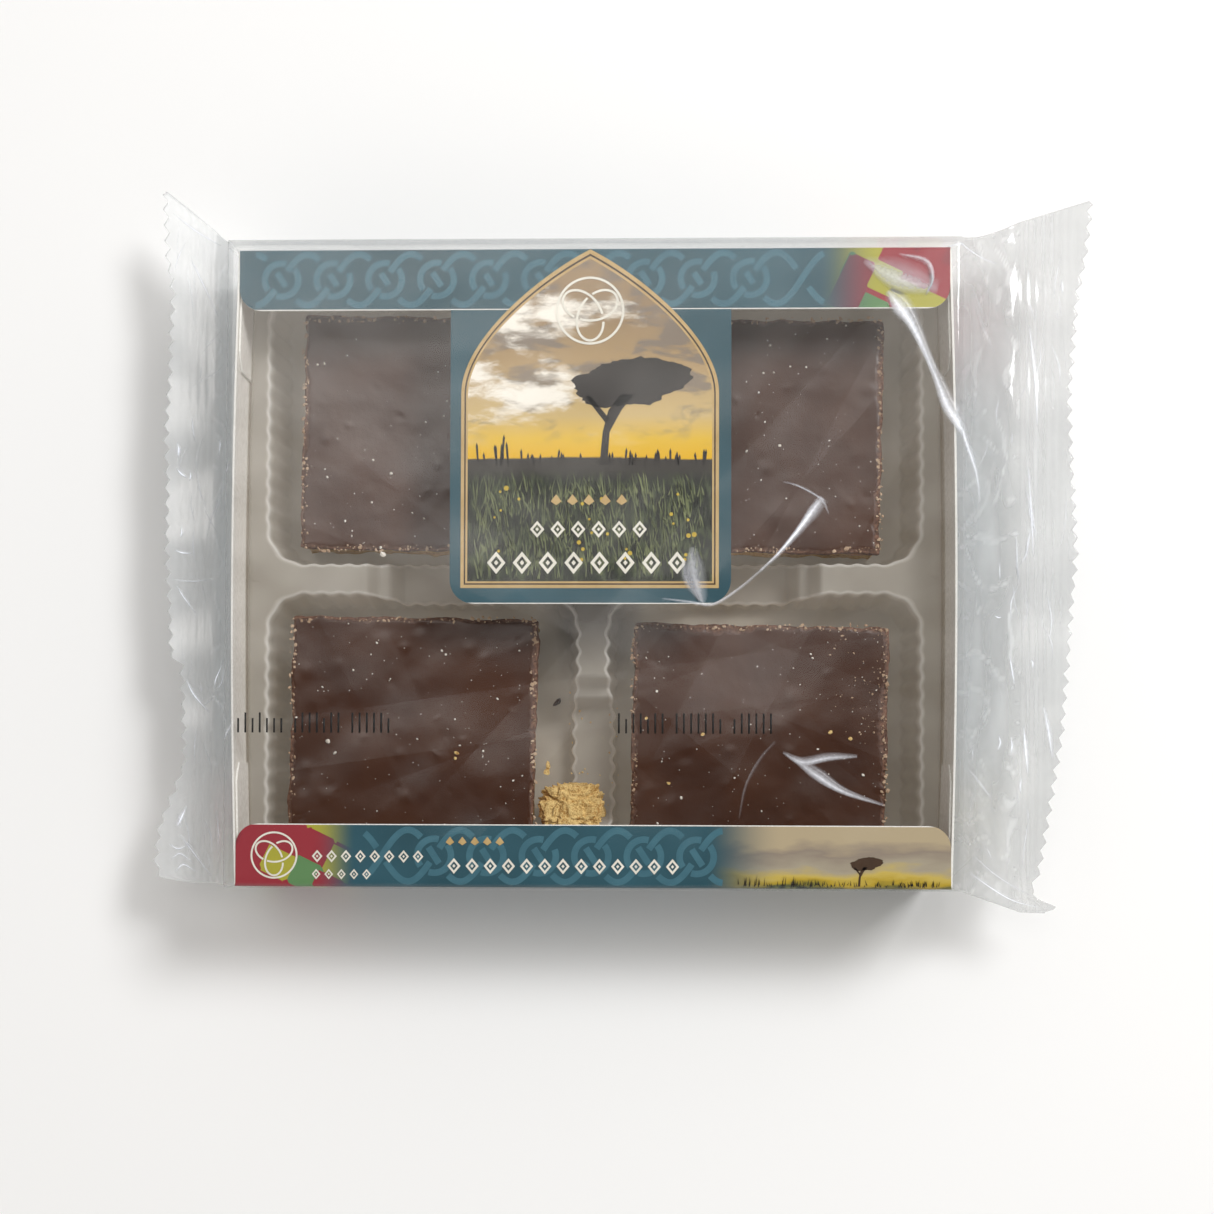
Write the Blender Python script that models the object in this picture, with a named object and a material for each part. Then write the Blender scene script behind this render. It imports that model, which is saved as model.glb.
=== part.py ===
"""Four caramel shortbread squares in a fluted plastic tray and a windowed card carton, in a clear flow wrap.

Metres, +Z up. The origin is on the underside of the wrap, below the middle of the carton.
+X runs along the carton's long side and +Y to the back wall, where the flap with the arched tab is hinged.
"""

import math

import bmesh
import bpy
from mathutils import Vector, noise

MM = 0.001
CLEARANCE = 0.3 * MM

# The wrap, whose skin is drawn thicker than real film so that it is a solid
SKIN = 0.4 * MM
WRAP_TOP = 37.4 * MM
WRAP_FRONT = -74.3 * MM
WRAP_BACK = 76.0 * MM
WRAP_END = 84.4 * MM
WRAP_ROUNDING = 1.5 * MM
CRIMP_HEIGHT = 18.5 * MM
CRIMP_THICKNESS = 1.0 * MM
TOOTH_PITCH = 3.6 * MM
TOOTH_DEPTH = 1.4 * MM
SEAM_FROM_MIDDLE = -20.0 * MM
SEAM_SLIT = 0.35 * MM
SEAM_FROM_ENDS = 10.0 * MM
# Where each end shuts: how far out, and its front and back
LEFT_CRIMP = (91.3 * MM, -73.6 * MM, 83.0 * MM)
RIGHT_CRIMP = (100.5 * MM, -79.6 * MM, 83.8 * MM)
# The fins' toothed edges, as corners (how far out, y) from front to back
LEFT_EDGE = (
    (93.7 * MM, -73.6 * MM),
    (98.1 * MM, -74.6 * MM),
    (103.0 * MM, -72.4 * MM),
    (104.4 * MM, -68.5 * MM),
    (103.4 * MM, -60.0 * MM),
    (97.5 * MM, -45.0 * MM),
    (98.4 * MM, -22.0 * MM),
    (101.1 * MM, -19.0 * MM),
    (102.2 * MM, 4.5 * MM),
    (102.6 * MM, 35.0 * MM),
    (101.2 * MM, 68.0 * MM),
    (102.7 * MM, 76.0 * MM),
    (103.4 * MM, 93.0 * MM),
)
RIGHT_EDGE = (
    (105.8 * MM, -80.0 * MM),
    (109.1 * MM, -78.7 * MM),
    (102.9 * MM, -75.0 * MM),
    (105.1 * MM, -70.0 * MM),
    (110.5 * MM, -37.0 * MM),
    (113.9 * MM, 4.5 * MM),
    (112.3 * MM, 42.0 * MM),
    (114.3 * MM, 66.0 * MM),
    (117.2 * MM, 76.0 * MM),
    (118.4 * MM, 89.2 * MM),
)

# The carton, a tray of card with walls that bow out
CARTON_LENGTH = 164.0 * MM
CARTON_DEPTH = 147.0 * MM
CARTON_FLOOR = SKIN + CLEARANCE
CARTON_TOP = WRAP_TOP - SKIN - CLEARANCE
CARD = 0.5 * MM
SIDE_BOW = 1.3 * MM
BACK_FLAP_DEPTH = 14.2 * MM
FRONT_FLAP_DEPTH = 14.4 * MM
FLAP_CORNER = 5.0 * MM
ARCHED_TAB_WIDTH = 64.5 * MM
ARCHED_TAB_REACH = 82.0 * MM
ARCHED_TAB_OFFSET = -0.5 * MM
ARCHED_TAB_CORNER = 5.5 * MM
GLUE_TAB_LENGTH_BACK = 27.0 * MM
GLUE_TAB_LENGTH_FRONT = 28.0 * MM
GLUE_TAB_BELOW_TOP = 1.2 * MM
GLUE_TAB_SLANT = 3.5 * MM

# The thermoformed tray
TRAY_LENGTH = 161.6 * MM
TRAY_DEPTH = 142.8 * MM
TRAY_CORNER = 6.0 * MM
TRAY_MIDDLE = (-0.1 * MM, -1.3 * MM)
TRAY_WALL = 0.5 * MM
TRAY_BOTTOM = CARTON_FLOOR + CARD + CLEARANCE
DECK_HEIGHT = 22.0 * MM
CAVITY_LENGTH = 72.8 * MM
CAVITY_DEPTH = 66.5 * MM
CAVITY_CORNER = 8.5 * MM
CAVITY_SPACING = (80.8 * MM, 73.9 * MM)
WALL_RUN = 1.8 * MM
FLUTE_PITCH = 4.2 * MM
FLUTE_DEPTH = 0.9 * MM
POINTS_PER_FLUTE = 3
SADDLE_HEIGHT = 7.0 * MM
SADDLE_DRAFT = 1.5 * MM
SADDLE_REACH = 9.0 * MM
SADDLE_SKIN_REACH = 8.0 * MM
LONG_RIB_SADDLE = (18.0 * MM, 53.6 * MM)
CROSS_RIB_SADDLE = (23.2 * MM, 62.0 * MM)

# The shortbread squares: a biscuit base, a caramel layer and a chocolate top
SQUARE_BOTTOM = TRAY_BOTTOM + TRAY_WALL + CLEARANCE
BISCUIT_HEIGHT = 10.0 * MM
CARAMEL_HEIGHT = 4.8 * MM
CHOCOLATE_HEIGHT = 3.0 * MM
CUT_CORNER = 0.7 * MM
SQUARE_TURN = math.radians(-1.2)
# Name, middle (x, y), size (x, y)
SQUARES = (
    ("back_left", (-40.2 * MM, 33.6 * MM), (58.9 * MM, 56.4 * MM)),
    ("back_right", (38.4 * MM, 33.0 * MM), (60.0 * MM, 56.0 * MM)),
    ("front_left", (-42.8 * MM, -38.5 * MM), (59.0 * MM, 56.8 * MM)),
    ("front_right", (39.2 * MM, -40.0 * MM), (60.6 * MM, 56.2 * MM)),
)
STEPS_PER_SIDE = 11
# How far each layer is set in from the square's size, and how uneven its cut sides are
BISCUIT_INSET = 0.45 * MM
BISCUIT_FOOT_INSET = 0.8 * MM
BISCUIT_FOOT_HEIGHT = 0.8 * MM
BISCUIT_ROUGHNESS = 0.7 * MM
BISCUIT_FOOT_ROUGHNESS = 0.3 * MM
CARAMEL_INSET = 0.2 * MM
CARAMEL_EDGE_INSET = 0.55 * MM
CARAMEL_ROUGHNESS = 0.5 * MM
CHOCOLATE_INSET = 0.35 * MM
CHOCOLATE_ROUGHNESS = 0.6 * MM
CHOCOLATE_EDGE_HEIGHT = 0.7 * MM
CHOCOLATE_TOP_INSET = 0.5 * MM
CHOCOLATE_TOP_DROP = 0.2 * MM
CHOCOLATE_TOP_ROUGHNESS = 0.5 * MM

# The loose lump of biscuit that lies across the tray's rib
CRUMB_MIDDLE = (-4.6 * MM, -56.0 * MM, 12.4 * MM)
CRUMB_HALF_SIZE = (8.6 * MM, 6.4 * MM, 4.4 * MM)
CRUMB_BLOCKINESS = 0.75


def plain_material(name, colour, roughness, alpha=1.0):
    """A Principled material of one colour, given as linear red, green and blue."""
    material = bpy.data.materials.new(name)
    material.use_nodes = True
    shader = material.node_tree.nodes["Principled BSDF"]
    shader.inputs["Base Color"].default_value = (*colour, 1.0)
    shader.inputs["Roughness"].default_value = roughness
    shader.inputs["Metallic"].default_value = 0.0
    shader.inputs["Alpha"].default_value = alpha
    return material


def add_object(name, mesh, collection, material=None):
    """Links an object for this mesh, shaded smooth apart from its creases."""
    thing = bpy.data.objects.new(name, mesh)
    collection.objects.link(thing)
    if material:
        mesh.materials.append(material)
    mesh.shade_smooth()
    mesh.set_sharp_from_angle(angle=math.radians(35))
    return thing


def hide_form(thing):
    """Keeps a form that only cuts or joins another one out of the render."""
    thing.hide_render = True
    thing.display_type = "WIRE"


def combine(target, operation, collection):
    """Joins the forms in a collection to the target, or cuts them from it."""
    boolean = target.modifiers.new(operation.capitalize(), "BOOLEAN")
    boolean.operation = operation
    boolean.operand_type = "COLLECTION"
    boolean.collection = collection
    boolean.solver = "EXACT"


def make_collection(name):
    collection = bpy.data.collections.new(name)
    bpy.context.scene.collection.children.link(collection)
    return collection


def flat_form(name, outline, low, high, collection, material=None):
    """A flat outline as a filled 2D curve, given its thickness from low to high and turned into a mesh."""
    curve = bpy.data.curves.new(name + "_outline", "CURVE")
    curve.dimensions = "2D"
    curve.fill_mode = "BOTH"
    curve.extrude = (high - low) / 2
    spline = curve.splines.new("POLY")
    spline.points.add(len(outline) - 1)
    for point, (x, y) in zip(spline.points, outline):
        point.co = (x, y, 0.0, 1.0)
    spline.use_cyclic_u = True
    guide = bpy.data.objects.new(name + "_outline", curve)
    collection.objects.link(guide)
    graph = bpy.context.evaluated_depsgraph_get()
    mesh = bpy.data.meshes.new_from_object(guide.evaluated_get(graph))
    bpy.data.objects.remove(guide)
    shape = bmesh.new()
    shape.from_mesh(mesh)
    bmesh.ops.remove_doubles(shape, verts=shape.verts, dist=0.00001)
    bmesh.ops.translate(shape, verts=shape.verts, vec=(0, 0, (low + high) / 2))
    bmesh.ops.recalc_face_normals(shape, faces=shape.faces)
    shape.to_mesh(mesh)
    shape.free()
    mesh.name = name
    return add_object(name, mesh, collection, material)


def mesh_from(shape, name, collection, material=None):
    """Turns a finished bmesh into an object with its faces pointing out."""
    bmesh.ops.recalc_face_normals(shape, faces=shape.faces)
    mesh = bpy.data.meshes.new(name)
    shape.to_mesh(mesh)
    shape.free()
    return add_object(name, mesh, collection, material)


def bridge(shape, first, second):
    """Faces between two rings of vertices with the same count."""
    count = len(first)
    for i in range(count):
        j = (i + 1) % count
        shape.faces.new((first[i], first[j], second[j], second[i]))


def loft(name, rings, collection, material=None):
    """A closed solid through rings of points, capped at both ends."""
    shape = bmesh.new()
    loops = [[shape.verts.new(point) for point in ring] for ring in rings]
    for first, second in zip(loops, loops[1:]):
        bridge(shape, first, second)
    shape.faces.new(loops[0])
    shape.faces.new(loops[-1])
    return mesh_from(shape, name, collection, material)


def rounded_rectangle(width, depth, radius, count):
    """Evenly spaced points round a rectangle with round corners, each with its outward direction."""
    quarter = math.pi / 2
    arc = quarter * radius
    straights = (depth - 2 * radius, width - 2 * radius) * 2
    corners = ((1, 1), (-1, 1), (-1, -1), (1, -1))
    total = sum(straights) + 4 * arc
    found = []
    for i in range(count):
        along = total * i / count
        side = 0
        while along >= straights[side] + arc:
            along -= straights[side] + arc
            side += 1
        turn = max(0.0, along - straights[side]) / radius
        angle = side * quarter + turn
        outward = Vector((math.cos(angle), math.sin(angle)))
        tangent = Vector((-math.sin(side * quarter), math.cos(side * quarter)))
        signs = corners[side]
        middle = Vector((signs[0] * (width / 2 - radius), signs[1] * (depth / 2 - radius)))
        back = max(0.0, straights[side] - along)
        found.append((middle + outward * radius - tangent * back, outward))
    return found


def corner_arc(middle, radius, start, turn=math.pi / 2, steps=6):
    """Points round a corner, from the start angle through the turn."""
    angles = [start + turn * i / steps for i in range(steps + 1)]
    return [(middle[0] + radius * math.cos(a), middle[1] + radius * math.sin(a)) for a in angles]


def side_wall_x(y, grow=0.0):
    """How far the outer face of a side wall stands from the middle at this depth, grown outwards."""
    part_way = 2 * y / CARTON_DEPTH
    return CARTON_LENGTH / 2 + SIDE_BOW * (1 - part_way * part_way) + grow


def carton_outline(grow):
    """The carton seen from above, anticlockwise, with bowed sides and grown outwards."""
    half = CARTON_DEPTH / 2 + grow
    steps = 14
    depths = [-half + 2 * half * i / steps for i in range(steps + 1)]
    right = [(side_wall_x(y, grow), y) for y in depths]
    return right + [(-x, y) for x, y in reversed(right)]


def back_flap_outline():
    """The back flap with round front corners, and the long tab that hangs from its middle."""
    back = CARTON_DEPTH / 2
    front = back - BACK_FLAP_DEPTH
    side = CARTON_LENGTH / 2 - CARD
    tab_front = back - ARCHED_TAB_REACH
    tab_left = ARCHED_TAB_OFFSET - ARCHED_TAB_WIDTH / 2
    tab_right = ARCHED_TAB_OFFSET + ARCHED_TAB_WIDTH / 2
    outline = [(side, back), (-side, back)]
    outline += corner_arc((-side + FLAP_CORNER, front + FLAP_CORNER), FLAP_CORNER, math.pi)
    outline += [(tab_left, front)]
    middle_y = tab_front + ARCHED_TAB_CORNER
    outline += corner_arc((tab_left + ARCHED_TAB_CORNER, middle_y), ARCHED_TAB_CORNER, math.pi)
    outline += corner_arc((tab_right - ARCHED_TAB_CORNER, middle_y), ARCHED_TAB_CORNER, -math.pi / 2)
    outline += [(tab_right, front)]
    outline += corner_arc((side - FLAP_CORNER, front + FLAP_CORNER), FLAP_CORNER, -math.pi / 2)
    return outline


def front_flap_outline():
    """The narrow front flap with round back corners."""
    front = -CARTON_DEPTH / 2
    back = front + FRONT_FLAP_DEPTH
    side = CARTON_LENGTH / 2 - CARD
    outline = [(-side, front), (side, front)]
    outline += corner_arc((side - FLAP_CORNER, back - FLAP_CORNER), FLAP_CORNER, 0.0)
    outline += corner_arc((-side + FLAP_CORNER, back - FLAP_CORNER), FLAP_CORNER, math.pi / 2)
    return outline


def glue_tab(name, side, end, length, collection):
    """A tab of the front or back wall, glued inside a side wall, with its free end cut aslant."""
    corner_y = end * (CARTON_DEPTH / 2 - CARD / 2)
    low = CARTON_FLOOR + CARD / 2
    high = CARTON_TOP - GLUE_TAB_BELOW_TOP
    steps = 6
    shape = bmesh.new()
    rings = []
    for i in range(steps + 1):
        y = corner_y - end * length * i / steps
        outer = side * (side_wall_x(y) - CARD / 2)
        inner = side * (side_wall_x(y) - 2 * CARD)
        top = high - (GLUE_TAB_SLANT if i == steps else 0.0)
        ring = ((outer, y, low), (inner, y, low), (inner, y, top), (outer, y, top))
        rings.append([shape.verts.new(point) for point in ring])
    for first, second in zip(rings, rings[1:]):
        bridge(shape, first, second)
    shape.faces.new(rings[0])
    shape.faces.new(rings[-1])
    hide_form(mesh_from(shape, name, collection))


def make_carton(parts, material):
    """A floor with four walls, with the flaps and the glue tabs joined on."""
    hollow = make_collection("carton_hollow")
    additions = make_collection("carton_additions")
    wall_top = CARTON_TOP - CARD / 2
    carton = flat_form("carton", carton_outline(0.0), CARTON_FLOOR, wall_top, parts, material)
    inside = flat_form("carton_inside", carton_outline(-CARD), CARTON_FLOOR + CARD, CARTON_TOP + CARD, hollow)
    hide_form(inside)
    flap_bottom = CARTON_TOP - CARD
    hide_form(flat_form("back_flap", back_flap_outline(), flap_bottom, CARTON_TOP, additions))
    hide_form(flat_form("front_flap", front_flap_outline(), flap_bottom, CARTON_TOP, additions))
    for side in (-1, 1):
        for end, length in ((-1, GLUE_TAB_LENGTH_FRONT), (1, GLUE_TAB_LENGTH_BACK)):
            glue_tab(f"glue_tab_{side}_{end}", side, end, length, additions)
    combine(carton, "DIFFERENCE", hollow)
    combine(carton, "UNION", additions)


def cavity_ring(middle, z, grow):
    """The fluted outline of a cavity at this height, grown outwards."""
    floor = TRAY_BOTTOM + TRAY_WALL
    width = CAVITY_LENGTH - 2 * WALL_RUN
    depth = CAVITY_DEPTH - 2 * WALL_RUN
    radius = CAVITY_CORNER - WALL_RUN
    round_length = 2 * (width + depth) - (8 - 2 * math.pi) * radius
    flutes = round(round_length / FLUTE_PITCH)
    run = WALL_RUN * (z - floor) / (DECK_HEIGHT - floor)
    ring = []
    for i, (point, outward) in enumerate(rounded_rectangle(width, depth, radius, flutes * POINTS_PER_FLUTE)):
        phase = 2 * math.pi * i / POINTS_PER_FLUTE
        flute = FLUTE_DEPTH * (0.5 - 0.5 * math.cos(phase))
        place = point + outward * (run + flute + grow)
        ring.append((middle[0] + place.x, middle[1] + place.y, z))
    return ring


def saddle_rings(along_x, sign, near, far, bottom, top, reach, grow):
    """The low stretch of a rib, wider at the deck than at its floor."""
    rings = []
    for z, slope in ((bottom, 0.0), (top, SADDLE_DRAFT * (top - bottom) / (DECK_HEIGHT - SADDLE_HEIGHT))):
        first = near + SADDLE_DRAFT - slope - grow
        last = far - SADDLE_DRAFT + slope + grow
        corners = ((first, -reach), (last, -reach), (last, reach), (first, reach))
        ring = []
        for along, across in corners:
            x, y = (sign * along, across) if along_x else (across, sign * along)
            ring.append((TRAY_MIDDLE[0] + x, TRAY_MIDDLE[1] + y, z))
        rings.append(ring)
    return rings


def make_tray(parts, material):
    """A thin plate with four fluted cavities, whose ribs drop to a saddle between each two of them."""
    skins = make_collection("tray_skins")
    hollows = make_collection("tray_hollows")
    above = DECK_HEIGHT + 2 * MM
    floor = TRAY_BOTTOM + TRAY_WALL
    rim = rounded_rectangle(TRAY_LENGTH, TRAY_DEPTH, TRAY_CORNER, 48)
    outline = [(TRAY_MIDDLE[0] + point.x, TRAY_MIDDLE[1] + point.y) for point, _ in rim]
    tray = flat_form("inner_tray", outline, DECK_HEIGHT - TRAY_WALL, DECK_HEIGHT, parts, material)
    for column in (-1, 1):
        for row in (-1, 1):
            middle = (
                TRAY_MIDDLE[0] + column * CAVITY_SPACING[0] / 2,
                TRAY_MIDDLE[1] + row * CAVITY_SPACING[1] / 2,
            )
            levels = (TRAY_BOTTOM, DECK_HEIGHT - TRAY_WALL / 2)
            skin = [cavity_ring(middle, z, TRAY_WALL) for z in levels]
            hide_form(loft(f"cavity_skin_{column}_{row}", skin, skins))
            hollow = [cavity_ring(middle, z, 0.0) for z in (floor, above)]
            hide_form(loft(f"cavity_hollow_{column}_{row}", hollow, hollows))
    for along_x, (near, far) in ((True, LONG_RIB_SADDLE), (False, CROSS_RIB_SADDLE)):
        for sign in (-1, 1):
            name = f"{'long' if along_x else 'cross'}_{sign}"
            low = SADDLE_HEIGHT - TRAY_WALL
            skin = saddle_rings(
                along_x, sign, near, far, low, DECK_HEIGHT - TRAY_WALL / 2, SADDLE_SKIN_REACH, TRAY_WALL
            )
            hide_form(loft(f"saddle_skin_{name}", skin, skins))
            hollow = saddle_rings(along_x, sign, near, far, SADDLE_HEIGHT, above, SADDLE_REACH, 0.0)
            hide_form(loft(f"saddle_hollow_{name}", hollow, hollows))
    combine(tray, "UNION", skins)
    combine(tray, "DIFFERENCE", hollows)


def cut_rectangle(width, depth):
    """Points along the sides of a cut square, whose corners are only just blunt, with outward directions."""
    corners = ((1, -1), (1, 1), (-1, 1), (-1, -1))
    found = []
    for side, (sign_x, sign_y) in enumerate(corners):
        start = Vector((sign_x * width / 2, sign_y * depth / 2))
        next_x, next_y = corners[(side + 1) % 4]
        end = Vector((next_x * width / 2, next_y * depth / 2))
        diagonal = Vector((sign_x, sign_y)).normalized()
        found.append((start - diagonal * CUT_CORNER, diagonal))
        outward = Vector((end.y - start.y, start.x - end.x)).normalized()
        for i in range(1, STEPS_PER_SIDE):
            found.append((start.lerp(end, i / STEPS_PER_SIDE), outward))
    return found


def rough_ring(size, inset, z, rough, seed):
    """A square's cut outline at this height, set in by a little and made uneven."""
    wave = 4.5 * MM
    ring = []
    for point, outward in cut_rectangle(size[0] - 2 * inset, size[1] - 2 * inset):
        spot = Vector((point.x / wave + seed, point.y / wave, z / wave))
        place = point + outward * (rough * noise.noise(spot))
        ring.append((place.x, place.y, z))
    return ring


def chocolate_top(size, level, seed):
    """Rings from the top's edge towards its middle, with low waves where the chocolate set."""
    wave = 13.0 * MM
    relief = 0.35 * MM
    edge = rough_ring(size, CHOCOLATE_TOP_INSET, level - CHOCOLATE_TOP_DROP, CHOCOLATE_TOP_ROUGHNESS, seed)
    rings = [edge]
    for share in (0.94, 0.75, 0.5, 0.25):
        ring = []
        for x, y, _ in edge:
            spot = Vector((x * share / wave, y * share / wave, seed))
            ring.append((x * share, y * share, level + relief * noise.noise(spot)))
        rings.append(ring)
    return rings


def make_square(name, middle, size, seed, parts, materials):
    """One square: three layers under one parent, each a cut slab with uneven sides."""
    parent = bpy.data.objects.new("square_" + name, None)
    parts.objects.link(parent)
    parent.location = (*middle, 0.0)
    parent.rotation_euler = (0.0, 0.0, SQUARE_TURN)

    low = SQUARE_BOTTOM
    high = low + BISCUIT_HEIGHT
    rings = [rough_ring(size, BISCUIT_FOOT_INSET, low, BISCUIT_FOOT_ROUGHNESS, seed)]
    for level in (low + BISCUIT_FOOT_HEIGHT, (low + high) / 2, high):
        rings.append(rough_ring(size, BISCUIT_INSET, level, BISCUIT_ROUGHNESS, seed))
    layers = [loft("biscuit_" + name, rings, parts, materials["biscuit"])]

    low = high + CLEARANCE
    high = low + CARAMEL_HEIGHT
    heights = ((CARAMEL_EDGE_INSET, low), (CARAMEL_INSET, (low + high) / 2), (CARAMEL_EDGE_INSET, high))
    rings = [rough_ring(size, inset, level, CARAMEL_ROUGHNESS, seed + 10) for inset, level in heights]
    layers.append(loft("caramel_" + name, rings, parts, materials["caramel"]))

    low = high + CLEARANCE
    high = low + CHOCOLATE_HEIGHT
    sides = (low, high - CHOCOLATE_EDGE_HEIGHT)
    rings = [rough_ring(size, CHOCOLATE_INSET, level, CHOCOLATE_ROUGHNESS, seed + 20) for level in sides]
    rings += chocolate_top(size, high, seed + 20)
    layers.append(loft("chocolate_" + name, rings, parts, materials["chocolate"]))

    for layer in layers:
        layer.parent = parent


def make_crumb(parts, material):
    """A craggy lump broken from the biscuit."""
    shape = bmesh.new()
    bmesh.ops.create_icosphere(shape, subdivisions=3, radius=1.0)
    for vertex in shape.verts:
        spot = vertex.co * 1.7
        swell = 0.9 + 0.2 * noise.noise(spot) + 0.14 * noise.noise(spot * 2.6)
        blocky = [math.copysign(abs(c) ** CRUMB_BLOCKINESS, c) for c in vertex.co]
        vertex.co = Vector([c * swell * half for c, half in zip(blocky, CRUMB_HALF_SIZE)])
    crumb = mesh_from(shape, "biscuit_crumb", parts, material)
    crumb.location = CRUMB_MIDDLE


def wrap_ring(x, front, back, low, high, rounding):
    """The wrap's section across X: flat above and below, with rounded edges at front and back."""
    steps = 10
    inner_front, inner_back = front + rounding, back - rounding
    across = [inner_front + (inner_back - inner_front) * i / steps for i in range(steps + 1)]
    ring = [(x, y, high) for y in across]
    ring += [(x, back, high - rounding), (x, back, low + rounding)]
    ring += [(x, y, low) for y in reversed(across)]
    ring += [(x, front, low + rounding), (x, front, high - rounding)]
    return ring


def flare_rings(side, crimp_x, crimp_front, crimp_back):
    """Sections from the end of the carton to the start of the crimp, where the wrap closes flat."""
    steps = 5
    half = CRIMP_THICKNESS / 2
    rings = []
    for i in range(1, steps + 1):
        along = i / steps
        closing = math.sin(along * math.pi / 2) ** 0.8
        rings.append(
            wrap_ring(
                side * (WRAP_END + (crimp_x - WRAP_END) * along),
                WRAP_FRONT + (crimp_front - WRAP_FRONT) * along,
                WRAP_BACK + (crimp_back - WRAP_BACK) * along,
                (CRIMP_HEIGHT - half) * closing,
                WRAP_TOP + (CRIMP_HEIGHT + half - WRAP_TOP) * closing,
                WRAP_ROUNDING + (half * 0.6 - WRAP_ROUNDING) * closing,
            )
        )
    return rings


def toothed_edge(side, corners):
    """A zig-zag cut along a line of corners (x, y), given from front to back."""
    teeth = []
    number = 0
    for (x0, y0), (x1, y1) in zip(corners, corners[1:]):
        steps = max(1, round((y1 - y0) / (TOOTH_PITCH / 2)))
        for i in range(steps):
            part_way = i / steps
            out = TOOTH_DEPTH / 2 if number % 2 else -TOOTH_DEPTH / 2
            teeth.append((side * (x0 + (x1 - x0) * part_way + out), y0 + (y1 - y0) * part_way))
            number += 1
    last_x, last_y = corners[-1]
    return teeth + [(side * last_x, last_y)]


def add_fin(shape, ring, edge):
    """Closes the wrap's end ring with a flat crimped fin out to its toothed edge."""
    half = CRIMP_THICKNESS / 2
    steps = 11
    top, back, bottom, front = ring[:steps], ring[steps : steps + 2], ring[steps + 2 : -2], ring[-2:]
    upper = [shape.verts.new((x, y, CRIMP_HEIGHT + half)) for x, y in edge]
    lower = [shape.verts.new((x, y, CRIMP_HEIGHT - half)) for x, y in edge]
    shape.faces.new(top + upper[::-1])
    shape.faces.new(bottom + lower)
    for i in range(len(edge) - 1):
        shape.faces.new((upper[i], upper[i + 1], lower[i + 1], lower[i]))
    shape.faces.new([top[-1], *back, bottom[0], lower[-1], upper[-1]])
    shape.faces.new([bottom[-1], *front, top[0], upper[0], lower[0]])


def make_wrap(parts, material):
    """The closed bag: a box round the carton, which flares and shuts flat in a crimped fin at each end."""
    left = flare_rings(-1, *LEFT_CRIMP)
    right = flare_rings(1, *RIGHT_CRIMP)
    box = [
        wrap_ring(x, WRAP_FRONT, WRAP_BACK, 0.0, WRAP_TOP, WRAP_ROUNDING)
        for x in (-WRAP_END, 0.0, WRAP_END)
    ]
    shape = bmesh.new()
    loops = [[shape.verts.new(point) for point in ring] for ring in left[::-1] + box + right]
    for first, second in zip(loops, loops[1:]):
        bridge(shape, first, second)
    add_fin(shape, loops[0], toothed_edge(-1, LEFT_EDGE))
    add_fin(shape, loops[-1], toothed_edge(1, RIGHT_EDGE))
    wrap = mesh_from(shape, "film_wrap", parts, material)

    spaces = make_collection("wrap_spaces")
    room = carton_outline(CLEARANCE)
    hide_form(flat_form("room_for_carton", room, SKIN, WRAP_TOP - SKIN, spaces))
    half = CARTON_LENGTH / 2 - SEAM_FROM_ENDS
    front = SEAM_FROM_MIDDLE - SEAM_SLIT / 2
    back = SEAM_FROM_MIDDLE + SEAM_SLIT / 2
    slit = [(-half, front), (half, front), (half, back), (-half, back)]
    hide_form(flat_form("lapped_seam", slit, -MM, 2 * SKIN, spaces))
    combine(wrap, "DIFFERENCE", spaces)


def make_pack():
    for thing in list(bpy.data.objects):
        bpy.data.objects.remove(thing)
    parts = make_collection("wrapped_caramel_shortbread")
    make_wrap(parts, plain_material("clear_film", (0.8, 0.82, 0.82), 0.12, alpha=0.3))
    make_carton(parts, plain_material("teal_printed_card", (0.09, 0.19, 0.25), 0.45))
    make_tray(parts, plain_material("frosted_plastic", (0.42, 0.4, 0.37), 0.35))
    layers = {
        "biscuit": plain_material("shortbread_biscuit", (0.55, 0.34, 0.13), 0.85),
        "caramel": plain_material("soft_caramel", (0.36, 0.15, 0.045), 0.4),
        "chocolate": plain_material("milk_chocolate", (0.1, 0.04, 0.022), 0.42),
    }
    for seed, (name, middle, size) in enumerate(SQUARES):
        make_square(name, middle, size, seed, parts, layers)
    make_crumb(parts, layers["biscuit"])


make_pack()
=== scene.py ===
"""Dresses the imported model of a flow-wrapped carton of four caramel shortbread squares in a plastic tray.

The makers' functions work in millimetres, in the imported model's frame: +Z up, +Y to the carton's back.
"""

import math
import random

import bmesh
import bpy
import numpy as np
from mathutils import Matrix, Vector, noise
from mathutils.geometry import tessellate_polygon


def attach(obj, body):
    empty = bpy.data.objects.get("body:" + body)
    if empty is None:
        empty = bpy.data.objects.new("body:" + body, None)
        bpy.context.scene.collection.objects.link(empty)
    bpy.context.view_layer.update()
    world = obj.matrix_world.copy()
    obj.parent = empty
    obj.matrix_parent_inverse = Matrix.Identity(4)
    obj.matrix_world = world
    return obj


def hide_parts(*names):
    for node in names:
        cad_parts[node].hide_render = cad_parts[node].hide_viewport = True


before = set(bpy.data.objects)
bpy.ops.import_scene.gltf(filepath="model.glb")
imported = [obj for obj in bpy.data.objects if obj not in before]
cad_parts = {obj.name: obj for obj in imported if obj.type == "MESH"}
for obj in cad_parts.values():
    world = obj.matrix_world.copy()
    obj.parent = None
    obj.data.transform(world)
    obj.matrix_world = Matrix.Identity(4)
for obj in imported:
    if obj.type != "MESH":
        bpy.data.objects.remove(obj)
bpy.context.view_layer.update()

MM = 0.001

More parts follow.
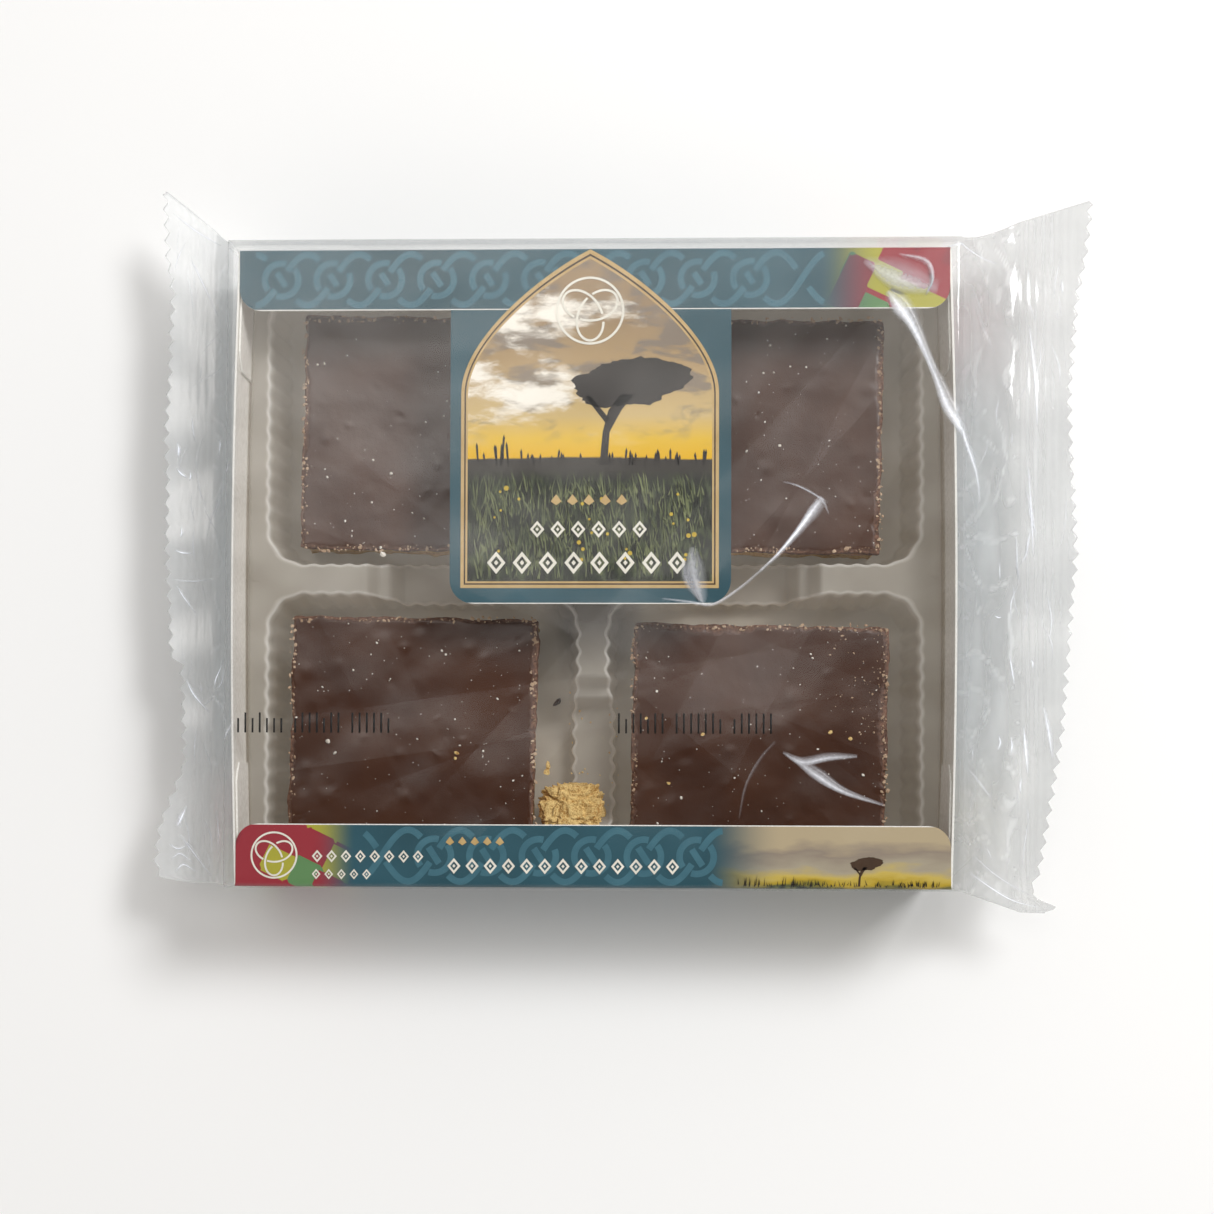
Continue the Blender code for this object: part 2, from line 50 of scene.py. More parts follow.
# The carton
CARD = 0.5
CARTON_HALF_LENGTH = 82.0
CARTON_HALF_DEPTH = 73.5
CARTON_FLOOR = 0.7
CARTON_TOP = 36.7
SIDE_BOW = 1.3
CREASE_RADIUS = 0.9
FLAP_INSET = 0.3
BACK_FLAP_DEPTH = 14.2
FRONT_FLAP_DEPTH = 14.4
FLAP_CORNER = 5.0
ARCH_MIDDLE = -0.65
HORIZON = 24.4
ARCHED_TAB = {"middle": -0.5, "half": 32.25, "front": -8.5, "corner": 5.5}
CUT_EDGE = 0.22  # how far the board shows white along a cut edge
CUT_DROP = 0.08
PRINTED, UNPRINTED, CUT = range(3)  # the carton's finishes
GLUE_TAB_LENGTH = {1: 27.0, -1: 28.0}

# The tray
TRAY_MIDDLE = (-0.1, -1.3)
TRAY_HALF = (80.8, 71.4)
TRAY_CORNER = 6.0
TRAY_FLOOR = 2.0
DECK_HEIGHT = 22.0
SADDLE_HEIGHT = 7.0
SHEET = 0.4
CAVITY = (72.8, 66.5)
CAVITY_CORNER = 8.5
CAVITY_FROM_MIDDLE = (40.4, 36.95)
WALL_RUN = 1.8
FLUTE_PITCH = 4.2
FLUTE_DEPTH = 0.9
LONG_RIB_SADDLE = (18.0, 53.6)
CROSS_RIB_SADDLE = (23.2, 62.0)

# The squares: name, middle, size
SQUARES = (
    ("back_left", (-40.2, 33.6), (58.9, 56.4)),
    ("back_right", (38.4, 33.0), (60.0, 56.0)),
    ("front_left", (-42.8, -38.5), (59.0, 56.8)),
    ("front_right", (39.2, -40.0), (60.6, 56.2)),
)
SQUARE_TURN = math.radians(-1.2)
CUT_CORNER = 0.7
CHOCOLATE_TOP = 20.7

# Their layers from below: name, slot, finish and node, underside and top, how ragged the cut is, and how far
# in the side is at each share of the height
LAYERS = (
    ("shortbread", "shortbread", "biscuit", (2.3, 12.3), 0.7,
     ((0.0, 1.6), (0.1, 1.3), (0.3, 1.15), (0.55, 1.1), (0.8, 1.15), (1.0, 1.2))),
    ("caramel", "caramel", "caramel", (12.6, 17.4), 0.5,
     ((0.0, 1.15), (0.3, 0.85), (0.6, 0.8), (1.0, 1.0))),
    ("chocolate", "milk_chocolate", "chocolate", (17.7, CHOCOLATE_TOP), 0.6,
     ((0.0, 0.4), (0.25, 0.3), (0.5, 0.3), (0.75, 0.35), (0.9, 0.45))),
)  # fmt: skip

# The wrap
WRAP_LOW = 0.15
WRAP_TOP = 37.3
WRAP_FRONT = -73.95
WRAP_BACK = 76.0
WRAP_END = 84.4
WRAP_ROUNDING = 1.5
CRIMP_HEIGHT = 18.5
CRIMP_HALF = 0.4
CRIMP_ROUNDING = 0.3
TOOTH_DEPTH = 0.6
FIN_LIMIT = {-1: 104.8, 1: 118.8}
SIDE_STEPS = 6

# Facets of the taut film: a point and the direction in degrees along the strip, its width, and its slope
FACETS = (
    ((-56.0, 38.0), -40.0, 17.0, 0.012),
    ((-44.0, -35.0), -63.0, 13.0, 0.011),
    ((-30.0, -52.0), 20.0, 16.0, 0.008),
    ((22.0, -48.0), 62.0, 18.0, 0.012),
    ((52.0, -30.0), -22.0, 15.0, 0.01),
    ((62.0, -58.0), -50.0, 12.0, 0.012),
    ((46.0, 28.0), 48.0, 14.0, 0.012),
    ((8.0, -30.0), 8.0, 12.0, 0.008),
)


def linear(hex_colour):
    """An sRGB hex colour as linear red, green, blue and alpha."""
    shares = [int(hex_colour[i : i + 2], 16) / 255 for i in (1, 3, 5)]
    return [s / 12.92 if s <= 0.04045 else ((s + 0.055) / 1.055) ** 2.4 for s in shares] + [1.0]


def node(tree, kind, inputs=None, stops=None, **settings):
    """Adds a shader node with its settings, its ramp's stops, and its inputs set or linked."""
    made = tree.nodes.new(f"ShaderNode{kind}")
    for name, value in settings.items():
        setattr(made, name, value)
    for socket, value in (inputs or {}).items():
        if isinstance(value, bpy.types.NodeSocket):
            tree.links.new(value, made.inputs[socket])
        else:
            made.inputs[socket].default_value = value
    for i, (place, colour) in enumerate(stops or ()):
        elements = made.color_ramp.elements
        element = elements[i] if i < 2 else elements.new(place)
        element.position = place
        element.color = linear(colour)
    return made


def maths(tree, operation, *values):
    """One step of arithmetic on numbers or sockets."""
    return node(tree, "Math", dict(enumerate(values)), operation=operation).outputs[0]


def eased(tree, value, low, high, to_low=0.0, to_high=1.0, kind="LINEAR"):
    """The value's way from low to high, carried over to another range and held at its ends."""
    ends = {"Value": value, "From Min": low, "From Max": high, "To Min": to_low, "To Max": to_high}
    return node(tree, "MapRange", ends, interpolation_type=kind).outputs["Result"]


def ramp(tree, factor, *stops):
    """The colour at this place between the stops."""
    return node(tree, "ValToRGB", {"Fac": factor}, stops).outputs["Color"]


def mix(tree, factor, first, second):
    """One colour that gives way to another."""
    return node(tree, "Mix", {"Factor": factor, 6: first, 7: second}, data_type="RGBA").outputs[2]


def cloudy(tree, where, scale, detail, **more):
    """Smooth noise, with this many waves to the metre."""
    return node(tree, "TexNoise", {"Vector": where, "Scale": scale, "Detail": detail, **more}).outputs["Fac"]


def stretched(tree, where, scale):
    """The place drawn out along the axes whose scale is below one."""
    return node(tree, "Mapping", {"Vector": where, "Scale": scale}).outputs["Vector"]


def relief(tree, height, distance, strength, **settings):
    """The normal of a surface with this relief."""
    inputs = {"Height": height, "Distance": distance, "Strength": strength}
    return node(tree, "Bump", inputs, **settings).outputs["Normal"]


def attribute(tree, name):
    """The numbers that set_values stored on the mesh."""
    return node(tree, "Attribute", attribute_name=name).outputs["Fac"]


def mix_shader(tree, share, first, second):
    return node(tree, "MixShader", {"Fac": share, 1: first.outputs[0], 2: second.outputs[0]})


def new_material(name):
    """An empty material, its node tree, and the place on the piece in metres."""
    material = bpy.data.materials.new(name)
    material.use_nodes = True
    material.node_tree.nodes.clear()
    return material, material.node_tree, node(material.node_tree, "TexCoord").outputs["Object"]


def finish(material, shader):
    """Ends a material in its surface, and returns it."""
    output = node(material.node_tree, "OutputMaterial")
    material.node_tree.links.new(shader.outputs[0], output.inputs["Surface"])
    return material


def solid(material, inputs):
    """Ends a material in an opaque surface."""
    return finish(material, node(material.node_tree, "BsdfPrincipled", inputs))


def paper(material, where, colour, roughness, grain, depth, strength, gleam=0.5):
    """Board with the low relief of its fibres."""
    tree = material.node_tree
    fibres = relief(tree, cloudy(tree, where, 1 / grain, 4.0), depth, strength)
    inputs = {"Base Color": colour, "Roughness": roughness, "Specular IOR Level": gleam, "Normal": fibres}
    return solid(material, inputs)


def printed_board():
    """Folding boxboard, offset printed in teal and sealed: an even colour with a satin gleam.

    The print runs into blocks of red, yellow and green at two corners, and into an evening sky at a third.
    """
    material, tree, where = new_material("offset_printed_boxboard")
    x, y, z = node(tree, "SeparateXYZ", {"Vector": where}).outputs
    teal = ramp(tree, cloudy(tree, where, 45.0, 3.0), (0.3, "#254A55"), (0.7, "#2F5865"))

    # Colour blocks, as a coarse tilted check whose cells take one of four inks
    turned = {"Vector": where, "Rotation": (0.0, 0.0, 0.45), "Location": (0.003, 0.0, 0.0)}
    check = {"Vector": node(tree, "Mapping", turned).outputs["Vector"], "Scale": 150.0, "Randomness": 0.3}
    cells = node(tree, "TexVoronoi", check, distance="CHEBYCHEV").outputs["Color"]
    cell = node(tree, "SeparateColor", {"Color": cells}).outputs["Red"]
    inks = ((0.0, "#96303A"), (0.52, "#A8A33A"), (0.7, "#87303A"), (0.86, "#5F8757"))
    blocks = node(tree, "ValToRGB", {"Fac": cell}, inks)
    blocks.color_ramp.interpolation = "CONSTANT"
    back = eased(tree, y, 0.0, 0.001)
    right_end = eased(tree, x, 0.052, 0.066, kind="SMOOTHSTEP")
    left_end = eased(tree, x, -0.054, -0.064, kind="SMOOTHSTEP")
    end = node(tree, "Mix", {"Factor": back, 2: left_end, 3: right_end}, data_type="FLOAT").outputs[0]
    # Round the corner, the print fades back into teal along the end walls
    near_corner = eased(tree, maths(tree, "ABSOLUTE", y), 0.042, 0.057, kind="SMOOTHSTEP")
    base = mix(tree, maths(tree, "MULTIPLY", end, near_corner), teal, blocks.outputs["Color"])

    # The front flap's right end: an evening sky down to a bright horizon, and a field down the wall
    streaks = cloudy(tree, stretched(tree, where, (0.3, 1.0, 1.0)), 320.0, 3.0)
    sky_height = maths(tree, "MULTIPLY_ADD", streaks, 0.5, eased(tree, y, -0.0735, -0.0592))
    sky_height = maths(tree, "ADD", sky_height, eased(tree, z, 0.0362, 0.0219, to_high=-1.0))
    blades = cloudy(tree, stretched(tree, where, (1.0, 1.0, 0.2)), 700.0, 4.0)
    field = ramp(tree, blades, (0.36, "#2A3223"), (0.5, "#3C4633"), (0.66, "#6B6F3C"))
    horizon = ((0.25, "#7C7430"), (0.33, "#B59A2E"), (0.44, "#C3AC55"))
    sky = ramp(tree, sky_height, *horizon, (0.6, "#A49A86"), (0.82, "#8F8274"), (1.0, "#B2A284"))
    sky = mix(tree, eased(tree, sky_height, 0.28, 0.2), sky, field)
    sky_end = eased(tree, x, 0.026, 0.044, kind="SMOOTHSTEP")
    sky_share = maths(tree, "MULTIPLY", sky_end, maths(tree, "SUBTRACT", 1.0, back))
    sky_share = maths(tree, "MULTIPLY", sky_share, near_corner)
    colour = mix(tree, sky_share, base, sky)
    return paper(material, where, colour, 0.45, 0.0008, 0.00002, 0.35, 0.25)


def plain_board(name, light, dark, grain, roughness):
    """Unprinted boxboard: matt, with the grey and cream flecks of its pulp."""
    material, tree, where = new_material(name)
    colour = ramp(tree, cloudy(tree, where, 1 / grain, 5.0), (0.35, dark), (0.65, light))
    return paper(material, where, colour, roughness, 0.0006, 0.00005, 0.5)


def printing_ink(name, light, dark, roughness=0.4):
    """Offset ink on sealed board: flat colour that varies a little with the board's take-up."""
    material, tree, where = new_material(name)
    colour = ramp(tree, cloudy(tree, where, 220.0, 3.0), (0.3, dark), (0.7, light))
    return solid(material, {"Base Color": colour, "Roughness": roughness, "Specular IOR Level": 0.25})


def evening_print():
    """The arch's picture, in four-colour offset: clouds over a yellow horizon, a dark hill and a meadow."""
    material, tree, where = new_material("four_colour_evening_print")
    x, y, _ = node(tree, "SeparateXYZ", {"Vector": where}).outputs
    flat = stretched(tree, where, (0.4, 1.0, 1.0))
    clouds = cloudy(tree, flat, 150.0, 7.0, Roughness=0.6, Distortion=0.3)
    rise = eased(tree, y, 0.0251, 0.0735)
    low_sky = ((0.0, "#E2B10E"), (0.09, "#E0B93C"), (0.2, "#CBB178"))
    glow = ramp(tree, rise, *low_sky, (0.4, "#B2966A"), (0.7, "#957C5C"), (1.0, "#A58B69"))
    lift = eased(tree, rise, 0.05, 0.25)
    grey_share = eased(tree, clouds, 0.48, 0.58, to_high=0.85, kind="SMOOTHSTEP")
    greyed = mix(tree, maths(tree, "MULTIPLY", grey_share, lift), glow, linear("#7D7267"))
    bright_left = cloudy(tree, flat, 110.0, 7.0, Roughness=0.62)
    bright = maths(tree, "MULTIPLY", bright_left, eased(tree, x, 0.034, -0.03, to_low=0.68))
    bright_share = eased(tree, bright, 0.44, 0.57, kind="SMOOTHSTEP")
    sky = mix(tree, maths(tree, "MULTIPLY", bright_share, lift), greyed, linear("#F5EFE3"))

    tufts = cloudy(tree, stretched(tree, where, (1.0, 0.35, 1.0)), 900.0, 4.0)
    grass = ramp(tree, tufts, (0.36, "#11150E"), (0.5, "#1E2518"), (0.64, "#424B31"))
    land = mix(tree, eased(tree, y, 0.0195, 0.0225), grass, linear("#38342F"))
    hill_line = maths(tree, "ADD", y, maths(tree, "MULTIPLY", clouds, -0.002))
    colour = mix(tree, eased(tree, hill_line, 0.0238, 0.0242), land, sky)
    return paper(material, where, colour, 0.45, 0.0008, 0.00002, 0.3, 0.25)


def thermoformed_plastic():
    """Polypropylene sheet, vacuum formed: milky and see-through, with a soft gloss on its ribs."""
    material, tree, where = new_material("thermoformed_polypropylene")
    haze = cloudy(tree, where, 120.0, 3.0)
    colour = ramp(tree, haze, (0.3, "#BEB9B1"), (0.7, "#CAC6BE"))
    # Little light reaches the crossing of the ribs, under the arched tab
    painted_tab_shade = attribute(tree, "crossing")
    colour = mix(tree, painted_tab_shade, colour, linear("#6B645C"))
    # The sheet is stretched white where it bends over a rim; this white also paints the rim's highlight
    bend = attribute(tree, "bend")
    colour = mix(tree, maths(tree, "MULTIPLY", bend, 0.65), colour, linear("#F6F5F2"))
    flow = relief(tree, haze, 0.0002, 0.25)
    body = {"Base Color": colour, "Roughness": 0.28, "IOR": 1.49, "Normal": flow}
    # Painted light: the sheet glows faintly all over, standing in for light that spreads sideways inside it
    # down to its walls
    body["Emission Color"] = linear("#CEC8BE")
    body["Emission Strength"] = eased(tree, painted_tab_shade, 0.0, 1.0, 0.2, 0.03)
    passed_on = node(tree, "BsdfTranslucent", {"Color": colour, "Normal": flow})
    milky = mix_shader(tree, 0.5, node(tree, "BsdfPrincipled", body), passed_on)
    clear = node(tree, "BsdfTransparent", {"Color": linear("#FAF7F2")})
    return finish(material, mix_shader(tree, eased(tree, bend, 0.0, 1.0, 0.6, 0.85), clear, milky))


def set_chocolate():
    """Milk chocolate, poured and set: satin brown, paler and crumbled where the knife went through."""
    material, tree, where = new_material("set_milk_chocolate")
    worn = attribute(tree, "worn")
    smooth = ramp(tree, cloudy(tree, where, 55.0, 4.0), (0.3, "#3B2013"), (0.7, "#4A2B1A"))
    broken = ramp(tree, cloudy(tree, where, 1500.0, 3.0), (0.35, "#452A1D"), (0.62, "#7E5B48"))
    rough = eased(tree, worn, 0.0, 1.0, 0.12, 0.8)
    skin = {
        "Base Color": mix(tree, worn, smooth, broken),
        "Roughness": eased(tree, worn, 0.0, 1.0, 0.24, 0.75),
        "IOR": 1.46,
        "Specular IOR Level": 0.4,
        "Normal": relief(tree, cloudy(tree, where, 600.0, 4.0), 0.0003, rough),
    }
    return solid(material, skin)


def boiled_caramel():
    """Soft caramel, boiled and poured: amber, glossy, with a little light passing through."""
    material, tree, where = new_material("boiled_caramel")
    stir = cloudy(tree, where, 260.0, 3.0)
    inputs = {
        "Base Color": ramp(tree, stir, (0.3, "#93571F"), (0.7, "#B9793A")),
        "Roughness": 0.3,
        "IOR": 1.49,
        "Subsurface Weight": 0.2,
        "Subsurface Radius": (0.002, 0.001, 0.0004),
        "Subsurface Scale": 1.0,
        "Normal": relief(tree, stir, 0.0004, 0.4),
    }
    return solid(material, inputs)


def baked_shortbread(name, crust, deep, cell):
    """Butter biscuit, pressed and baked: matt gold, open and sandy where it is cut or broken."""
    material, tree, where = new_material(name)
    crumbs = cloudy(tree, where, 0.5 / cell, 6.0, Roughness=0.7, Distortion=0.6)
    mixed = maths(tree, "MULTIPLY", crumbs, cloudy(tree, where, 2.2 / cell, 5.0))
    colour = ramp(tree, mixed, (0.2, crust), (0.35, deep))
    pores = relief(tree, mixed, 0.0008, 0.8, invert=True)
    return solid(material, {"Base Color": colour, "Roughness": 0.82, "Normal": pores})


def clear_film():
    """Oriented polypropylene film, heat sealed: clear and glossy, milky where it is creased or crimped.

    The share of white comes from the mesh, where each crease and seal is, and the left end's extra white is
    painted light. Long straight folds tilt the taut film a degree or two, so that one facet mirrors the
    lights and the next doesn't.
    """
    material, tree, where = new_material("oriented_polypropylene_film")
    white = attribute(tree, "milkiness")
    height = maths(tree, "MULTIPLY", cloudy(tree, where, 38.0, 1.0), 0.0009)
    for (x, y), degrees, width, slope in FACETS:
        turn = math.radians(degrees)
        across = (-math.sin(turn), math.cos(turn), 0.0)
        along = node(tree, "VectorMath", {0: where, 1: across}, operation="DOT_PRODUCT").outputs["Value"]
        middle = (x * across[0] + y * across[1]) * MM
        for side in (-1, 1):
            away = maths(tree, "SUBTRACT", along, middle + side * width * MM / 2)
            height = maths(tree, "MULTIPLY_ADD", maths(tree, "ABSOLUTE", away), side * slope, height)
    folds = relief(tree, height, 1.0, 1.0)
    clear = node(tree, "BsdfTransparent", {"Color": linear("#FCFCFC")})
    bloom = {"Color": ramp(tree, white, (0.34, "#D1D3D3"), (0.42, "#F4F6F7")), "Normal": folds}
    scatter = mix_shader(tree, 0.5, node(tree, "BsdfDiffuse", bloom), node(tree, "BsdfTranslucent", bloom))
    sheet = mix_shader(tree, white, clear, scatter)
    gloss = node(tree, "BsdfGlossy", {"Color": linear("#FFFFFF"), "Roughness": 0.11, "Normal": folds})
    facing = node(tree, "LayerWeight", {"Blend": 0.5, "Normal": folds}).outputs["Facing"]
    mirror = eased(tree, maths(tree, "POWER", facing, 4.0), 0.0, 1.0, 0.042, 0.45)
    return finish(material, mix_shader(tree, mirror, sheet, gloss))


def pleated_film():
    """A sharp fold in the film, where it lies double and its edge is stressed white: partly a painted glint.
    """
    material, tree, where = new_material("stress_whitened_film_fold_and_painted_glint")
    patchy = eased(tree, cloudy(tree, where, 1400.0, 3.0), 0.38, 0.6, to_low=0.8)
    white_and_glint = attribute(tree, "milkiness")
    fold = {
        "Base Color": linear("#F1F4FC"),
        "Roughness": 0.25,
        "Specular IOR Level": 0.8,
        # Painted light: the whitest folds glow, as painted glints
        "Emission Color": linear("#F2F6FF"),
        "Emission Strength": eased(tree, white_and_glint, 0.5, 0.95, to_high=0.5),
    }
    share = maths(tree, "MULTIPLY", white_and_glint, patchy)
    clear = node(tree, "BsdfTransparent", {"Color": linear("#FFFFFF")})
    return finish(material, mix_shader(tree, share, clear, node(tree, "BsdfPrincipled", fold)))


def pale_floor():
    """A sheet of matt studio paper."""
    return solid(new_material("studio_paper")[0], {"Base Color": linear("#F4F4F4"), "Roughness": 0.9})


FINISHES = {
    "print": printed_board(),
    "inside": plain_board("unprinted_boxboard", "#EFEBE4", "#E0DBD2", 0.0012, 0.8),
    "cut": plain_board("cut_boxboard_edge", "#F4F3EF", "#E2E0DA", 0.0004, 0.85),
    "band": printing_ink("tint_ink", "#44707E", "#3C6674"),
    "picture": evening_print(),
    "gold": printing_ink("gold_ink", "#C7AB78", "#B99A63", 0.38),
    "brown": printing_ink("brown_ink", "#4A3524", "#3B2A1C"),
    "white": printing_ink("white_ink", "#EDE9DD", "#DCD8CC"),
    "dark": printing_ink("silhouette_ink", "#2E2824", "#241F1C"),
    "blade": printing_ink("meadow_green_ink", "#7D8459", "#495234"),
    "flower": printing_ink("meadow_yellow_ink", "#CBB13A", "#B89A2B"),
    "coding": printing_ink("coding_ink", "#232323", "#1A1A1A", 0.5),
    "tray": thermoformed_plastic(),
    "chocolate": set_chocolate(),
    "caramel": boiled_caramel(),
    "biscuit": baked_shortbread("baked_shortbread", "#D9B87C", "#A97B3F", 0.0011),
    "lump": baked_shortbread("broken_shortbread", "#EFD08C", "#B8873F", 0.0008),
    "sugar": printing_ink("sugar_grain", "#EFEAE0", "#D8D0C4", 0.5),
    "film": clear_film(),
    "pleat": pleated_film(),
    "edge_grain": printing_ink("crumbled_chocolate", "#C8AF95", "#96785E", 0.8),
}


def add_piece(name, points, faces, finishes, stands_for=(), face_finish=None, crease=None):
    """A mesh piece given in millimetres, which rides on the root body."""
    mesh = bpy.data.meshes.new(name)
    mesh.from_pydata((np.asarray(points, float) * MM).tolist(), [], [list(map(int, face)) for face in faces])
    for finish_name in finishes:
        mesh.materials.append(FINISHES[finish_name])
    if face_finish is not None:
        mesh.polygons.foreach_set("material_index", np.asarray(face_finish, np.int32))
    shape = bmesh.new()
    shape.from_mesh(mesh)
    bmesh.ops.recalc_face_normals(shape, faces=shape.faces)
    shape.to_mesh(mesh)
    shape.free()
    mesh.shade_smooth()
    if crease:
        mesh.set_sharp_from_angle(angle=math.radians(crease))
    piece = bpy.data.objects.new(name, mesh)
    bpy.context.scene.collection.objects.link(piece)
    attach(piece, "root")
    if stands_for:
        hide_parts(*stands_for)
    return piece


def set_values(piece, name, values):
    """Stores one number for each vertex, which the material reads."""
    stored = piece.data.attributes.new(name, "FLOAT", "POINT")
    stored.data.foreach_set("value", np.asarray(values, np.float32))


def join(points, faces, more, cells):
    """Adds a form's points and faces to those of a piece."""
    faces += [[len(points) + i for i in cell] for cell in cells]
    points += more


def ring_faces(rows, columns):
    """Quads between rings of points that run side by side."""
    row = np.arange(rows - 1)[:, None] * columns
    column = np.arange(columns)[None, :]
    following = (column + 1) % columns
    corners = (row + column, row + following, row + columns + following, row + columns + column)
    return np.stack(corners, axis=-1).reshape(-1, 4).tolist()


def prism(outline, low, high):
    """An upright solid on an outline, as its points and faces: its sides, its underside and its top."""
    count = len(outline)
    points = [(x, y, z) for z in (low, high) for x, y in outline]
    return points, ring_faces(2, count) + [list(range(count)), list(range(count, 2 * count))]


def ball(subdivisions):
    """The points and triangles of a ball of radius 1."""
    shape = bmesh.new()
    bmesh.ops.create_icosphere(shape, subdivisions=subdivisions, radius=1.0)
    points = [vertex.co.copy() for vertex in shape.verts]
    faces = [[corner.index for corner in face.verts] for face in shape.faces]
    shape.free()
    return points, faces


def raised(flat, z):
    """Flat points at a height, or each at its own."""
    return np.column_stack([flat, np.broadcast_to(z, len(flat))])


def waves(points, wave, seed=0.0):
    """Smooth noise for each point, with hills about a wave apart."""
    scaled = np.asarray(points, float) / wave + seed
    return np.array([noise.noise(point) for point in scaled.tolist()])


def rounded_rectangle(half_x, half_y, radius, count):
    """Evenly spaced points round a rectangle with round corners, and their outward directions."""
    quarter = math.pi / 2
    arc = quarter * radius
    straights = (2 * (half_y - radius), 2 * (half_x - radius)) * 2
    signs = ((1, 1), (-1, 1), (-1, -1), (1, -1))
    total = sum(straights) + 4 * arc
    points, outwards = [], []
    for i in range(count):
        along = total * (i + 0.5) / count
        side = 0
        while along >= straights[side] + arc:
            along -= straights[side] + arc
            side += 1
        turn = max(0.0, along - straights[side]) / radius
        angle = side * quarter + turn
        back = max(0.0, straights[side] - along)
        outward = np.array((math.cos(angle), math.sin(angle)))
        tangent = np.array((-math.sin(side * quarter), math.cos(side * quarter)))
        corner = np.array((signs[side][0] * (half_x - radius), signs[side][1] * (half_y - radius)))
        points.append(corner + outward * radius - tangent * back)
        outwards.append(outward)
    return np.array(points), np.array(outwards)


def side_wall_x(y):
    return CARTON_HALF_LENGTH + SIDE_BOW * (1 - (y / CARTON_HALF_DEPTH) ** 2)


def card_strip(rows, columns):
    """Card along rows of (y, z, outward y, outward z, left x, right x): printed outside, white where cut."""
    points, finish_of = [], []
    across = np.linspace(0, 1, columns)
    for y, z, out_y, out_z, left, right in rows:
        for depth, shares in ((0.0, across), (CARD, across[::-1])):
            for share in shares:
                points.append((left + (right - left) * share, y - out_y * depth, z - out_z * depth))
    ring = 2 * columns
    faces = ring_faces(len(rows), ring) + [list(range(ring)), list(range(len(points) - ring, len(points)))]
    for row in range(len(rows) - 1):
        outside = CUT if row == len(rows) - 2 else PRINTED
        finish_of += [outside] * (columns - 1) + [CUT] + [UNPRINTED] * (columns - 1) + [CUT]
    return points, faces, finish_of + [CUT, CUT]


def corner_inset(distance, radius):
    """How far a round corner draws a side in, at this distance from the end."""
    left = max(0.0, radius - distance)
    return radius - math.sqrt(max(0.0, radius * radius - left * left))


def corner_steps(first, depth, corner):
    """How far along a flap its rows are: close together round the corners, and last at the white cut edge."""
    rounded = [depth - corner * (1 - math.sin(math.pi / 2 * i / 10)) for i in range(10)]
    return [first] + [step for step in rounded if step < depth - CUT_EDGE] + [depth - CUT_EDGE, depth]


def flap_rows(end, depth):
    """A wall that folds over a round crease into a flap with round corners."""
    side = CARTON_HALF_LENGTH
    heights = (CARTON_FLOOR, CARTON_FLOOR + 1.0, 12.0, 24.0, 35.0)
    rows = [(end * CARTON_HALF_DEPTH, z, end, 0.0, -side, side) for z in heights]
    for share in np.linspace(0, 1, 7):
        out_y, out_z = end * math.cos(math.pi / 2 * share), math.sin(math.pi / 2 * share)
        y = end * (CARTON_HALF_DEPTH - CREASE_RADIUS) + out_y * CREASE_RADIUS
        z = CARTON_TOP - CREASE_RADIUS + out_z * CREASE_RADIUS
        side = CARTON_HALF_LENGTH - FLAP_INSET * share
        rows.append((y, z, out_y, out_z, -side, side))
    for along in corner_steps(3.0, depth, FLAP_CORNER):
        side = CARTON_HALF_LENGTH - FLAP_INSET - corner_inset(depth - along, FLAP_CORNER)
        lower = CUT_DROP if along == depth else 0.0
        rows.append((end * (CARTON_HALF_DEPTH - along), CARTON_TOP - lower, 0.0, 1.0, -side, side))
    return rows


def tab_rows():
    """The long tab, from the back flap's front edge to its own round corners."""
    back, middle, corner = CARTON_HALF_DEPTH - BACK_FLAP_DEPTH, ARCHED_TAB["middle"], ARCHED_TAB["corner"]
    depth = back - ARCHED_TAB["front"]
    rows = []
    for along in corner_steps(0.0, depth, corner):
        half = ARCHED_TAB["half"] - corner_inset(depth - along, corner)
        lower = CUT_DROP if along == depth else 0.0
        rows.append((back - along, CARTON_TOP - lower, 0.0, 1.0, middle - half, middle + half))
    return rows


def wall_between(rows_y, outer, thickness, low, high):
    """An upright strip of card along the bowed side, as rings from one end to the other."""
    rings = []
    for y, top in zip(rows_y, high):
        face = outer(y)
        inner = face - math.copysign(thickness, face)
        bevel = math.copysign(0.08, face)
        outside = ((face, y, low), (face, y, top - 0.1), (face - bevel, y, top))
        rings.append((*outside, (inner, y, top), (inner, y, low)))
    return rings


